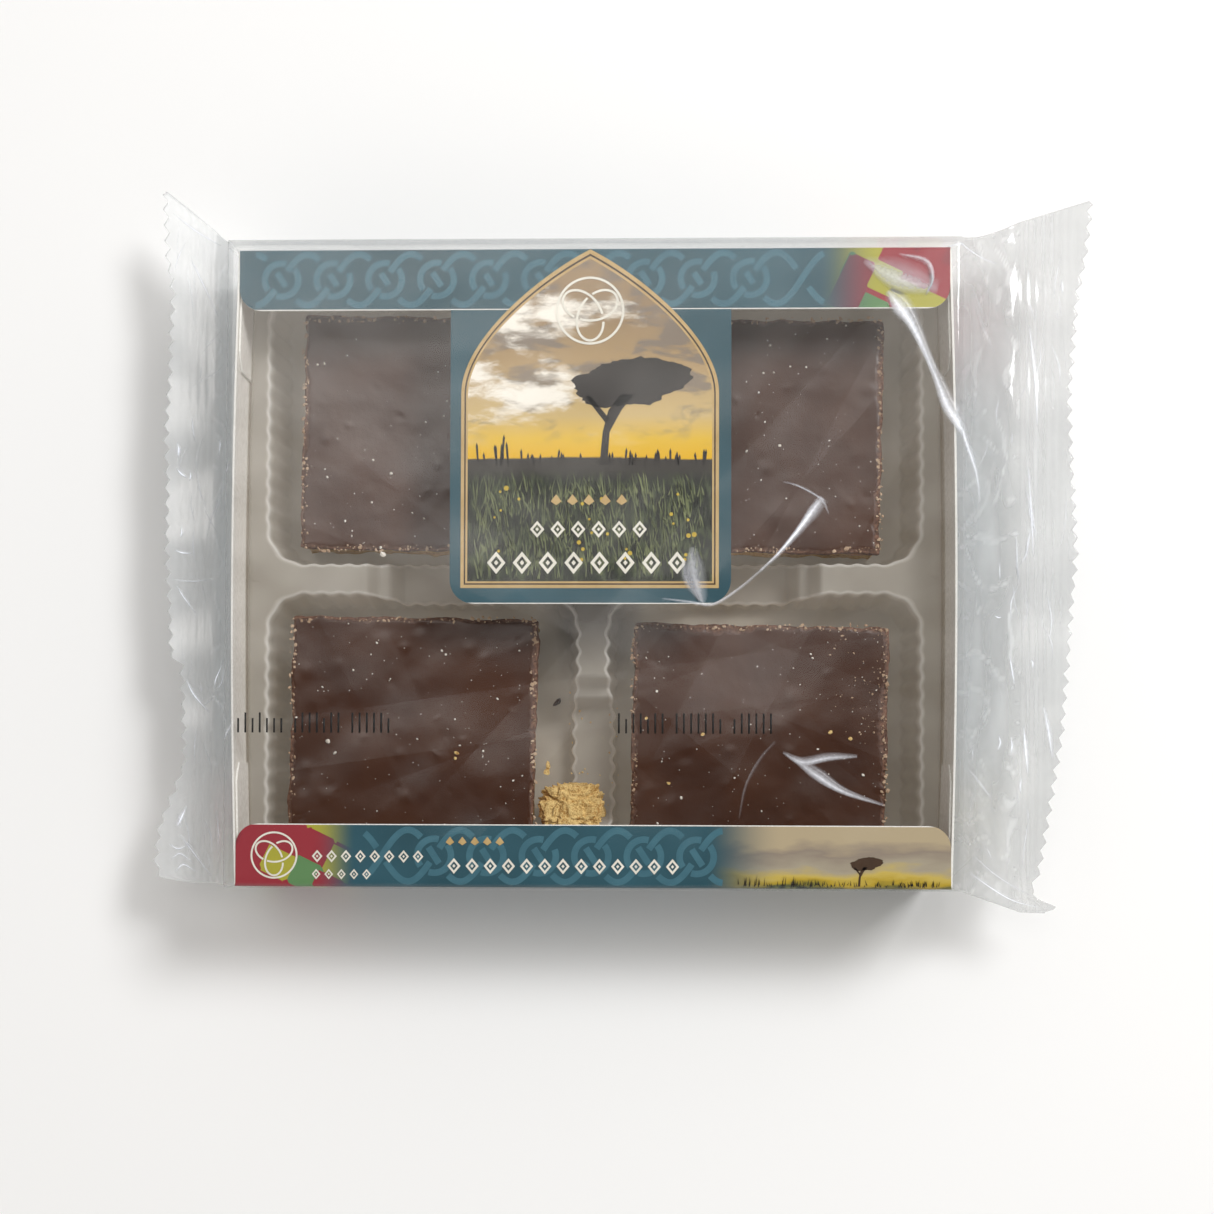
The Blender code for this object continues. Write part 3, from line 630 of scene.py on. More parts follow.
def make_carton():
    """The windowed carton, as its folded strips of card."""
    points, faces, finish_of = [], [], []

    def take(form, cells, kinds):
        join(points, faces, form, cells)
        finish_of.extend(kinds)

    for end, depth in ((1, BACK_FLAP_DEPTH), (-1, FRONT_FLAP_DEPTH)):
        take(*card_strip(flap_rows(end, depth), 14))
    take(*card_strip(tab_rows(), 8))
    steps = np.linspace(-CARTON_HALF_DEPTH + CARD, CARTON_HALF_DEPTH - CARD, 40)
    for side in (-1, 1):
        strips = [(steps, 0.0, CARTON_FLOOR, [CARTON_TOP - 0.25] * len(steps), PRINTED)]
        for end, length in GLUE_TAB_LENGTH.items():
            run = np.linspace(0, length, 14)
            tops = [CARTON_TOP - 1.2 - 3.5 * max(0.0, along - length + 3.5) / 3.5 for along in run]
            run = end * (CARTON_HALF_DEPTH - CARD - run)
            strips.append((run, CARD + 0.05, CARTON_FLOOR + CARD, tops, UNPRINTED))
        for run, inward, low, high, outer_finish in strips:
            rings = wall_between(run, lambda y: side * (side_wall_x(y) - inward), CARD, low, high)
            part = ring_faces(len(rings), 5)
            kinds = [outer_finish, CUT, CUT, UNPRINTED, CUT] * (len(rings) - 1)
            part += [list(range(5)), list(range(5 * len(rings) - 5, 5 * len(rings)))]
            take([point for ring in rings for point in ring], part, kinds + [CUT, CUT])
    outline = [(side_wall_x(y), y) for y in steps] + [(-side_wall_x(y), y) for y in steps[::-1]]
    floor = prism(outline, CARTON_FLOOR, CARTON_FLOOR + CARD)
    take(*floor, [CUT] * len(outline) + [PRINTED, UNPRINTED])
    finishes = ("print", "inside", "cut")
    add_piece("carton_board", points, faces, finishes, ("carton",), finish_of, crease=30)


def flat_print(name, outlines, layer, ink):
    """Fields of ink on top of the card, each a thin raised solid with the given outline."""
    low = CARTON_TOP + 0.01 + 0.03 * layer
    points, faces = [], []
    for outline in outlines:
        start, count = len(points), len(outline)
        points += [(x, y, z) for z in (low, low + 0.02) for x, y in outline]
        faces += [[start + i for i in face] for face in ring_faces(2, count)]
        for triangle in tessellate_polygon([[Vector((x, y, 0.0)) for x, y in outline]]):
            faces.append([start + i for i in triangle])
            faces.append([start + count + i for i in reversed(triangle)])
    return add_piece(name, points, faces, (ink,), crease=20)


def band_outline(line, width):
    """The outline of a band of even width along a line of points."""
    line = np.asarray(line, float)
    run = np.gradient(line, axis=0)
    run /= np.maximum(np.linalg.norm(run, axis=1, keepdims=True), 1e-9)
    across = np.stack([-run[:, 1], run[:, 0]], axis=1) * width / 2
    return [tuple(p) for p in line + across] + [tuple(p) for p in (line - across)[::-1]]


def crossings(first, second, same):
    """Where two lines of points cross, as the place along each."""
    a, b = first[:-1, None, :], second[None, :-1, :]
    run_a, run_b = first[1:, None, :] - a, second[None, 1:, :] - b
    gap = b - a
    turn = run_a[..., 0] * run_b[..., 1] - run_a[..., 1] * run_b[..., 0]
    turn = np.where(np.abs(turn) < 1e-12, 1e-12, turn)
    along_a = (gap[..., 0] * run_b[..., 1] - gap[..., 1] * run_b[..., 0]) / turn
    along_b = (gap[..., 0] * run_a[..., 1] - gap[..., 1] * run_a[..., 0]) / turn
    hit = (along_a >= 0) & (along_a < 1) & (along_b >= 0) & (along_b < 1)
    places = [(i + along_a[i, j], j + along_b[i, j]) for i, j in zip(*np.nonzero(hit))]
    if same:
        places = [(p, q) for p, q in places if q - p > 2]
    return places


def interlace(strands, width, gap):
    """The outlines of strands woven over and under, each cut where it passes under another."""
    visits = [[] for _ in strands]
    for i, first in enumerate(strands):
        for j in range(i, len(strands)):
            for place, other in crossings(first, strands[j], i == j):
                visits[i].append((place, j, other))
                visits[j].append((other, i, place))
    order = [sorted(found) for found in visits]
    starts_over = {0: 0}
    for _ in strands:
        for i, found in enumerate(order):
            if i not in starts_over:
                continue
            for number, (place, j, other) in enumerate(found):
                if j not in starts_over:
                    there = [k for k, (q, back, p) in enumerate(order[j]) if back == i and p == place][0]
                    starts_over[j] = (number + starts_over[i] + there + 1) % 2
    runs = [np.gradient(line, axis=0) for line in strands]
    outlines = []
    for i, line in enumerate(strands):
        spacing = np.linalg.norm(line[1] - line[0])
        ends = [0.0]
        for k, (place, j, other) in enumerate(order[i]):
            if (k + starts_over.get(i, 0)) % 2:
                own, over = runs[i][round(place)], runs[j][round(other)]
                turn = abs(own[0] * over[1] - own[1] * over[0]) / (np.linalg.norm(own) * np.linalg.norm(over))
                cut = (width / 2 + gap) / max(turn, 0.3) / spacing
                ends += [place - cut, place + cut]
        ends.append(len(line) - 1.0)
        for start, stop in zip(ends[::2], ends[1::2]):
            first, last = max(0, math.ceil(start)), min(len(line) - 1, math.floor(stop))
            if last - first >= 3:
                outlines.append(band_outline(line[first : last + 1], width))
    return outlines


def ring_line(middle, radius, steps=64):
    angles = np.linspace(0, 2 * math.pi, steps) + 0.4
    return np.stack([middle[0] + radius * np.cos(angles), middle[1] + radius * np.sin(angles)], axis=1)


def knot_border(left, right, middle_y, reach, period):
    """A braid of two waves with a ring threaded on each crossing, as old stone borders have."""
    x = np.arange(left, right, 0.35)
    wave = reach * np.sin(2 * math.pi * x / period)
    strands = [np.stack([x, middle_y + wave], axis=1), np.stack([x, middle_y - wave], axis=1)]
    for number in range(math.ceil(2 * (left + reach) / period), math.floor(2 * (right - reach) / period) + 1):
        strands.append(ring_line((number * period / 2, middle_y), reach * 0.66))
    return strands


def arch_outline(middle, half, base, spring, apex):
    """A pointed arch on a straight base."""
    start, lift = np.array((half, spring)), np.array((half, spring + 12.0))
    pull, tip = np.array((half * 0.42, apex - 6.4)), np.array((0.0, apex))
    outline = [(middle + half, base)]
    for t in np.linspace(0, 1, 28):
        s = 1 - t
        x, y = s**3 * start + 3 * s * s * t * lift + 3 * s * t * t * pull + t**3 * tip
        outline.append((middle + x, y))
    return outline + [(2 * middle - x, y) for x, y in outline[-2::-1]]


def frame_band(outer, inner):
    """The outline between two arches with the same count of points, opened at the base."""
    return [*outer, outer[0], inner[0], *inner[::-1]]


def placed(outline, place, share, about=None):
    """An outline made smaller about a point and moved to a place."""
    about = about or place
    return [(place[0] + (x - about[0]) * share, place[1] + (y - about[1]) * share) for x, y in outline]


def tree_forms():
    """A wind-bent thorn tree on the arch's hill, as its canopy, trunk and bough."""
    canopy = []
    for angle in np.arange(90) * 2 * math.pi / 90:
        cos, sin = math.cos(angle), math.sin(angle)
        ragged = 1 + 0.16 * noise.noise(Vector((cos * 2.3, sin * 2.3, 0.4)))
        ragged += 0.1 * noise.noise(Vector((cos * 9.0, sin * 9.0, 2.0)))
        canopy.append((8.5 + 13.0 * cos * ragged + 3.0 * sin, 42.5 + 5.6 * sin * ragged))
    left = [(6.5, 39.8), (3.6, 36.0), (2.3, 31.0)]
    trunk = [(1.6, HORIZON - 1), (3.4, HORIZON - 1), (3.9, 31.0), (6.6, 36.0), (9.5, 39.6), *left]
    bough = [(3.0, 33.0), (3.9, 34.0), (-0.6, 39.4), (-1.8, 39.2)]
    return canopy, trunk, bough


def print_meadow(draw):
    """The seed heads, blades and flowers of the arch, and the small tree and grass of the front flap."""
    # The seed heads' own draws come after some spare ones
    for _ in range(36):
        draw.random()
    forms = tree_forms()
    flat_print("hawthorn_print", forms, 2, "dark")
    spikes, blades, flowers, grass = [], [], [], []
    for _ in range(46):
        x = draw.uniform(-27.5, 26.5)
        height = draw.uniform(1.0, 3.2) * (2.2 if x < -15 else 1.0)
        lean = draw.uniform(-0.5, 0.5)
        foot, tip = HORIZON - 1.0, x + lean
        head = [(tip + 0.25, foot + height), (tip, foot + height + 0.8), (tip - 0.25, foot + height)]
        spikes.append([(x - 0.18, foot), (x + 0.18, foot), *head])
    flat_print("seed_head_print", spikes, 3, "dark")
    for _ in range(620):
        x, y = draw.uniform(-27.0, 25.6), draw.uniform(-2.8, 18.0)
        height, lean = draw.uniform(1.8, 6.5), draw.uniform(-1.6, 1.6)
        if abs(x + lean - ARCH_MIDDLE) < 27.2 and y + height < 22.5:
            half = draw.uniform(0.07, 0.2)
            bend = (x + lean * 0.4 + 0.6 * half, y + height * 0.6)
            blades.append([(x - half, y), (x + half, y), bend, (x + lean, y + height)])
    for _ in range(26):
        x, y = draw.uniform(-26.0, 25.0), draw.uniform(1.0, 19.5)
        radius = draw.uniform(0.25, 0.62)
        flowers.append([(x + radius * math.cos(a), y + radius * math.sin(a)) for a in np.linspace(0, 5.4, 7)])
    flat_print("meadow_blade_print", blades, 3, "blade")
    flat_print("meadow_flower_print", flowers, 4, "flower")
    small = [placed(form, (61.0, -72.6), 0.27, (3.0, HORIZON)) for form in forms]
    flat_print("flap_tree_print", small, 2, "brown")
    for _ in range(110):
        x, y = draw.uniform(33.0, 80.4), draw.uniform(-73.2, -72.5)
        height, lean = draw.uniform(0.5, 1.5) * (1.7 if x < 50 else 1.0), draw.uniform(-0.5, 0.5)
        grass.append([(x - 0.11, y), (x + 0.11, y), (x + lean, y + height)])
    flat_print("flap_grass_print", grass, 3, "dark")


def print_ornament(front_middle):
    """Generic ornament where a pack has its badge and wording: looped roundels, lozenges and gold keys."""
    turn = np.linspace(0, 2 * math.pi, 150)
    lobes = np.stack([np.sin(turn) + 2 * np.sin(2 * turn), np.cos(turn) - 2 * np.cos(2 * turn)], axis=1)
    for name, place, size, radius, steps, width, gap, layer in (
        ("arch_roundel", (ARCH_MIDDLE, 59.0), 2.3, 7.6, 90, 0.55, 0.25, 5),
        ("flap_roundel", (-72.8, front_middle), 1.55, 5.2, 80, 0.42, 0.2, 2),
    ):
        roundel = [lobes * size + np.array(place), ring_line(place, radius, steps)]
        flat_print(name, interlace(roundel, width, gap), layer, "white")
    lozenges, keys = [], []
    for left, right, y, height, pitch in (
        (-25.0, 22.4, 0.9, 5.2, 5.9),
        (-15.0, 13.2, 8.6, 3.9, 4.6),
        (-33.5, 20.6, -68.6, 3.6, 4.2),
        (-64.5, -38.0, -66.5, 2.9, 3.4),
        (-64.5, -50.0, -70.6, 2.4, 2.8),
    ):
        for x in row_places(left, right, pitch):
            outer = [(x, y - height / 2), (x + pitch * 0.36, y), (x, y + height / 2), (x - pitch * 0.36, y)]
            lozenges += [frame_band(outer, placed(outer, (x, y), 0.58)), placed(outer, (x, y), 0.24)]
    for left, right, y, pitch in ((-10.2, 8.6, 15.4, 3.7), (-33.8, -19.5, -62.9, 2.9)):
        half = pitch * 0.34
        for x in row_places(left, right, pitch):
            waist = y - half * 0.3
            keys.append([(x - half, waist), (x, y - half), (x + half, waist), (x, y + half)])
    flat_print("white_ornament_rows", lozenges, 5, "white")
    flat_print("gold_ornament_rows", keys, 5, "gold")


def row_places(left, right, pitch):
    """Where the forms of a row stand, as near as may be to a pitch apart."""
    count = round((right - left) / pitch)
    return [left + (number + 0.5) * (right - left) / count for number in range(count)]


def make_print():
    """The carton's printed ornament: knot borders, a framed evening picture, and plain ornament rows."""
    back_middle = CARTON_HALF_DEPTH - BACK_FLAP_DEPTH / 2
    front_middle = -CARTON_HALF_DEPTH + FRONT_FLAP_DEPTH / 2
    for name, left, right, y in (("back", -78.0, 53.0, back_middle), ("front", -52.0, 30.0, front_middle)):
        strands = knot_border(left, right, y, 5.9, 24.0)
        flat_print(f"knot_border_{name}", interlace(strands, 1.5, 0.3), 0, "band")
    cream, line, edge, panel = [
        arch_outline(ARCH_MIDDLE, 29.6 - inset, -4.9 + inset, 40.0 - 0.3 * inset, 73.2 - 1.4 * inset)
        for inset in (0.0, 0.75, 1.1, 1.55)
    ]
    flat_print("arch_picture", [cream], 1, "picture")
    flat_print("arch_gold_border", [frame_band(cream, line), frame_band(edge, panel)], 2, "gold")
    flat_print("arch_brown_line", [frame_band(line, edge)], 3, "brown")
    print_meadow(random.Random(7))
    print_ornament(front_middle)


def deck_height(points):
    """How high the tray's ribs and rim are at each point, measured from the tray's middle."""
    u, v = np.abs(points[:, 0]), np.abs(points[:, 1])

    def dip(along, near, far):
        stops = (near, near + 2.2, near + 4.5, near + 7.0, far - 7.0, far - 4.5, far - 2.2, far)
        return np.interp(along, stops, (0.0, 0.42, 0.46, 1.0, 1.0, 0.46, 0.42, 0.0))

    drop = np.where(v < 9.0, dip(u, *LONG_RIB_SADDLE), 0.0)
    drop = np.maximum(drop, np.where(u < 9.0, dip(v, *CROSS_RIB_SADDLE), 0.0))
    return DECK_HEIGHT - (DECK_HEIGHT - SADDLE_HEIGHT) * drop


def tray_quarter():
    """The cavity at +X +Y of the tray's middle, with its share of rib and rim, as rows of points."""
    half_x, half_y = CAVITY[0] / 2 - WALL_RUN, CAVITY[1] / 2 - WALL_RUN
    radius = CAVITY_CORNER - WALL_RUN
    round_length = 4 * (half_x + half_y) - (8 - 2 * math.pi) * radius
    flutes = round(round_length / FLUTE_PITCH)
    count = flutes * 7
    base, outward = rounded_rectangle(half_x, half_y, radius, count)
    flute = FLUTE_DEPTH * (0.5 - 0.5 * np.cos(2 * math.pi * flutes * np.arange(count) / count))
    # The flutes run out to a faint wave at the rim, apart from those beside the cross rib
    rim_share = np.where((outward[:, 0] < -0.9), 0.85, 0.4)
    centre = np.array(CAVITY_FROM_MIDDLE)
    tops = deck_height(base + outward * (WALL_RUN + 0.5) + centre)
    rows = []
    for share in (0.05, 0.5, 0.9):
        rows.append(raised(base * share + centre, TRAY_FLOOR))
    for step, (lift, inset) in enumerate(((0.0, 0.6), (0.12, 0.25), (0.5, 0.04), (1.2, 0.0))):
        spread = base + outward * (flute * (0.4 + 0.2 * step) - inset)[:, None]
        rows.append(raised(spread + centre, TRAY_FLOOR + lift))
    for share in (0.25, 0.5, 0.75, 0.93):
        height = TRAY_FLOOR + 1.2 + (tops - 0.5 - TRAY_FLOOR - 1.2) * share
        run = WALL_RUN * (height - TRAY_FLOOR) / (DECK_HEIGHT - TRAY_FLOOR)
        fade = 1 + (rim_share - 1) * share**3
        rows.append(raised(base + outward * (run + flute * fade)[:, None] + centre, height))
    run = WALL_RUN * (tops - TRAY_FLOOR) / (DECK_HEIGHT - TRAY_FLOOR)
    rim = base + outward * (run + flute * rim_share)[:, None]
    for reach, below in ((0.05, 0.28), (0.2, 0.1), (0.45, 0.0)):
        rows.append(raised(rim + outward * reach + centre, tops - below))
    room = np.array(TRAY_HALF) - centre
    arc = np.array((half_x - radius, half_y - radius))
    border = np.empty((count, 2))
    for i, (point, out) in enumerate(zip(base, outward)):
        start = np.clip(point - out * radius, -arc, arc)
        limits = []
        for axis in (0, 1):
            if abs(out[axis]) > 1e-6:
                edge = room[axis] if out[axis] > 0 else -centre[axis]
                limits.append((edge - start[axis]) / out[axis])
        border[i] = start + out * min(limits)
    for corner in (-centre, (room[0], -centre[1]), (-centre[0], room[1])):
        border[np.argmin(np.linalg.norm(border - corner, axis=1))] = corner
    outer_arc = room - TRAY_CORNER
    beyond = (border > outer_arc).all(axis=1)
    away = border[beyond] - outer_arc
    border[beyond] = outer_arc + away / np.linalg.norm(away, axis=1, keepdims=True) * TRAY_CORNER
    edge = rim + outward * 0.45
    for share in (0.12, 0.3, 0.55, 0.8, 1.0):
        place = edge + (border - edge) * share
        flat = deck_height(place + centre)
        height = np.minimum(flat, tops + (flat - tops) * min(1.0, share * 2))
        rows.append(raised(place + centre, height))
    rows = np.array(rows)
    # The rim follows the carton's bowed side
    outer_share = np.clip((rows[..., 0] - 77.0) / (TRAY_HALF[0] - 77.0), 0, 1)
    rows[..., 0] += outer_share * (SIDE_BOW - 0.2) * (1 - (rows[..., 1] / TRAY_HALF[1]) ** 2)
    return rows


def make_tray():
    """The formed tray: four fluted cavities that share low saddles in their ribs."""
    quarter = tray_quarter()
    rows, count, _ = quarter.shape
    points, faces = [], []
    for sign_x in (1, -1):
        for sign_y in (1, -1):
            turned = quarter * np.array((sign_x, sign_y, 1.0)) + np.array((*TRAY_MIDDLE, 0.0))
            cells = ring_faces(rows, count) + [list(range(count))]
            if sign_x * sign_y < 0:
                cells = [cell[::-1] for cell in cells]
            join(points, faces, turned.reshape(-1, 3).tolist(), cells)
    tray = add_piece("formed_tray", points, faces, ("tray",), ("inner_tray",))
    # Stress white along the rim's rows, which also paints the rim's highlight
    bend = np.zeros((4, rows, count))
    bend[:, 10:14] = np.array((0.5, 1.0, 1.0, 0.6))[None, :, None]
    set_values(tray, "bend", bend.reshape(-1))
    # Painted shade: the sheet is darkened where the ribs cross under the arched tab, and glows less there
    from_middle = np.abs(np.array(points)[:, :2] - np.array(TRAY_MIDDLE))
    crossing = np.clip((np.array((13.0, 24.0)) - from_middle) / np.array((7.0, 14.0)), 0, 1)
    set_values(tray, "crossing", 0.85 * crossing.prod(axis=1))
    shape = bmesh.new()
    shape.from_mesh(tray.data)
    bmesh.ops.remove_doubles(shape, verts=shape.verts, dist=0.00002)
    bmesh.ops.recalc_face_normals(shape, faces=shape.faces)
    highest = max(shape.faces, key=lambda face: face.calc_center_median().z)
    if highest.normal.z < 0:
        bmesh.ops.reverse_faces(shape, faces=shape.faces)
    shape.to_mesh(tray.data)
    shape.free()
    tray.data.shade_smooth()
    sheet = tray.modifiers.new("sheet_thickness", "SOLIDIFY")
    sheet.thickness = SHEET * MM
    sheet.offset = -1.0


def make_layer(square, layer, number, top_relief):
    """One cut layer of a square, as rings up its side and then over its top to the middle."""
    square_name, middle, size, seed = square
    name, slot, finish_name, (low, high), rough, insets = layer
    seed += 10 * number
    count = 300
    rows, worn = [], []
    outline, outward = rounded_rectangle(size[0] / 2, size[1] / 2, CUT_CORNER, count)
    for share, inset in insets:
        z = low + (high - low) * share
        flat = raised(outline, z)
        jag = rough * waves(flat, 4.5, seed) + 0.5 * rough * waves(flat, 1.3, seed + 3)
        rows.append(raised(outline + outward * (jag - inset)[:, None], z))
        worn.append(np.ones(count))
    rim = rows[-1][:, :2]
    for share in [0.992, 0.982, 0.968, 0.95, *np.linspace(0.93, 0.03, 44 if top_relief else 6)]:
        place = rim * share
        height, wear = np.zeros(count), np.ones(count)
        if top_relief:
            height, wear = top_relief(place, np.linalg.norm(rim - place, axis=1))
        rows.append(raised(place, high + height))
        worn.append(wear)
    rows.insert(0, rows[0] * np.array((0.02, 0.02, 1.0)))
    worn.insert(0, np.ones(count))
    points = np.array(rows)
    cos, sin = math.cos(SQUARE_TURN), math.sin(SQUARE_TURN)
    turned = points.copy()
    turned[..., 0] = middle[0] + points[..., 0] * cos - points[..., 1] * sin
    turned[..., 1] = middle[1] + points[..., 0] * sin + points[..., 1] * cos
    faces = ring_faces(len(rows), count)
    faces += [list(range(count)), list(range((len(rows) - 1) * count, len(rows) * count))]
    turned, node_name = turned.reshape(-1, 3), f"{finish_name}_{square_name}"
    piece = add_piece(f"{square_name}_{name}", turned, faces, (finish_name,), (node_name,))
    set_values(piece, "worn", np.concatenate(worn))


def make_square(name, middle, size, seed):
    """The biscuit, caramel and chocolate of one square."""
    draw = random.Random(seed)
    bumps = []
    for _ in range(34):
        x, y = draw.uniform(-0.46, 0.46) * size[0], draw.uniform(-0.46, 0.46) * size[1]
        bumps.append((x, y, draw.uniform(0.35, 1.3), draw.choice((-1, 1, 1)) * draw.uniform(0.05, 0.22)))
    for _ in range(5):
        x, y = draw.uniform(-0.4, 0.4) * size[0], draw.uniform(-0.4, 0.4) * size[1]
        bumps.append((x, y, draw.uniform(1.6, 3.2), draw.uniform(0.12, 0.3)))

    def chocolate_relief(place, inward):
        flat = raised(place, seed * 7.0)
        rise = 0.3 * waves(flat, 13.0) + 0.05 * waves(flat, 3.0, 5)
        for x, y, radius, height in bumps:
            away = (place[:, 0] - x) ** 2 + (place[:, 1] - y) ** 2
            rise += height * np.exp(-away / (2 * radius * radius))
        ragged = 0.75 + 0.8 * waves(flat, 1.6, 4) + 2.6 * np.maximum(0, waves(flat * 0.6, 11.0, 9))
        reach = np.maximum(0.2, ragged)
        close = np.clip(1 - inward / reach, 0, 1)
        rise -= close * (0.4 + 0.35 * waves(flat, 1.2, 2))
        return np.minimum(rise, 0.34), np.clip(close * 1.7, 0, 1)

    for number, layer in enumerate(LAYERS):
        top_relief = chocolate_relief if layer is LAYERS[-1] else None
        make_layer((name, middle, size, seed), layer, number, top_relief)


def grain(draw, middle, size):
    """One small broken grain, as the corners and triangles of a ragged icosahedron."""
    corners, faces = ball(1)
    turn = draw.uniform(0, math.pi)
    stretch = (draw.uniform(0.6, 1.3), draw.uniform(0.5, 1.0), draw.uniform(0.4, 0.8))
    cos, sin = math.cos(turn), math.sin(turn)
    points = []
    for corner in corners:
        x, y, z = (c * s * size * draw.uniform(0.75, 1.2) for c, s in zip(corner, stretch))
        points.append((middle[0] + x * cos - y * sin, middle[1] + x * sin + y * cos, middle[2] + z))
    return points, faces


def scatter(name, places, finish_name, slot, seed):
    """Grains of one kind as one piece; each place is (x, y, z, size)."""
    draw = random.Random(seed)
    points, faces = [], []
    for x, y, z, size in places:
        join(points, faces, *grain(draw, (x, y, z), size))
    add_piece(name, points, faces, (finish_name,), crease=40)


def make_grains():
    """Biscuit crumbs, sugar specks and grains of broken chocolate, on the squares and in the tray."""
    draw = random.Random(21)
    top = CHOCOLATE_TOP
    crumbs, specks, broken = [], [], []
    for x, y, size in ((-50.1, 4.6, 1.15), (-50.6, 6.3, 0.5), (-62.9, -39.8, 0.75), (-61.2, -42.6, 0.6)):
        specks.append((x, y, top + 0.25, size))
    for x, y, size in (
        (55.9, -37.4, 0.7), (60.6, -38.9, 0.6), (-32.3, -42.5, 0.6), (-32.6, -43.8, 0.5), (17.9, -49.5, 0.6),
        (25.9, -38.0, 0.55), (12.6, -34.2, 0.5), (-10.6, -45.5, 1.2), (-10.9, -46.9, 1.0),
    ):  # fmt: skip
        crumbs.append((x, y, top + 0.2, size))
    for _, middle, size in SQUARES:
        for _ in range(150):
            x = middle[0] + draw.uniform(-0.47, 0.47) * size[0]
            y = middle[1] + draw.uniform(-0.47, 0.47) * size[1]
            specks.append((x, y, top + 0.12, 0.1 + 0.3 * draw.random() ** 5))
        for _ in range(360):
            edge = draw.choice((-1, 1))
            reach = draw.uniform(0.474, 0.498)
            along = draw.uniform(-0.49, 0.49)
            if draw.random() < 0.5:
                x, y = middle[0] + edge * reach * size[0], middle[1] + along * size[1]
            else:
                x, y = middle[0] + along * size[0], middle[1] + edge * reach * size[1]
            broken.append((x, y, top - 0.05, 0.16 + 0.42 * draw.random() ** 2))
    for _ in range(70):
        x, y = 68.6 - 13.0 * draw.random() ** 2, -13.4 - 27.0 * draw.random() ** 1.3
        broken.append((x, y, top + 0.05, 0.12 + 0.3 * draw.random() ** 3))
    for _ in range(30):
        x, y = draw.uniform(-6.0, 6.0), draw.uniform(-60.0, -22.0)
        crumbs.append((x, y, SADDLE_HEIGHT + 0.3, draw.uniform(0.12, 0.35)))
    scatter("biscuit_grains", crumbs, "lump", "shortbread", 3)
    scatter("sugar_specks", specks, "sugar", "shortbread", 4)
    scatter("chocolate_grains", broken, "edge_grain", "milk_chocolate", 6)
    scatter("chocolate_crumb", [(-9.1, -29.7, TRAY_FLOOR + 0.9, 1.15)], "chocolate", "milk_chocolate", 8)


LUMP_MIDDLE = (-4.6, -56.0, 12.4)
LUMP_HALF = (8.2, 6.4, 4.4)


def make_lump():
    """The piece of biscuit that broke off, open and craggy."""
    corners, faces = ball(6)
    points = []
    for corner in corners:
        spot = corner * 1.7
        swell = 0.9 + 0.24 * noise.noise(spot) + 0.2 * noise.noise(spot * 2.6)
        hollow = noise.voronoi(Vector((corner.x * 5.0, corner.y * 2.2, corner.z * 2.2)))[0][0]
        swell -= 0.34 * max(0.0, 0.5 - hollow) + 0.1 * noise.noise(corner * 11)
        blocky = [math.copysign(abs(c) ** 0.6, c) for c in corner]
        point = Vector([c * swell * half for c, half in zip(blocky, LUMP_HALF)]) + Vector(LUMP_MIDDLE)
        points.append(tuple(point))
    add_piece("broken_shortbread", points, faces, ("lump",), ("biscuit_crumb",))


def toothed(y, edge, side):
    """How far out the toothed edge of a fin is at each place along it."""
    along = np.interp(y, [p[1] for p in edge], [p[0] for p in edge])
    teeth = np.abs((np.arange(len(y)) % 4) - 2) - 1
    uneven = 1 + 0.6 * waves(np.column_stack([y, y * 0, y * 0]), 7.0, 20 + side)
    return side * np.minimum(along + TOOTH_DEPTH * uneven * teeth, FIN_LIMIT[side])


def fin_end(start, count):
    """The cut end of a fin, whose ring is its top, its back, its underside and its front, as narrow faces."""

    def below(i):
        return start + 2 * count + SIDE_STEPS - 1 - i

    back = [start + count + i for i in range(SIDE_STEPS)]
    front = [start + 2 * count + SIDE_STEPS + i for i in range(SIDE_STEPS)]
    faces = [[start + i, start + i + 1, below(i + 1), below(i)] for i in range(1, count - 2)]
    faces.append([start, start + 1, below(1), below(0), *front])
    faces.append([start + count - 2, start + count - 1, *back, below(count - 1), below(count - 2)])
    return faces


# The fins' toothed edges, as points (how far out, y)
LEFT_EDGE = (
    (93.7, -73.6), (98.1, -73.4), (103.0, -72.4), (104.4, -68.5), (103.4, -60.0), (97.5, -45.0),
    (98.4, -22.0), (101.1, -19.0), (102.2, 4.5), (102.6, 35.0), (101.2, 68.0), (102.7, 76.0),
    (103.4, 92.4),
)
RIGHT_EDGE = (
    (105.8, -79.8), (109.1, -78.7), (102.9, -75.0), (105.1, -70.0), (110.5, -37.0), (113.9, 4.5),
    (112.3, 42.0), (114.3, 66.0), (116.4, 76.0), (117.6, 88.8),
)
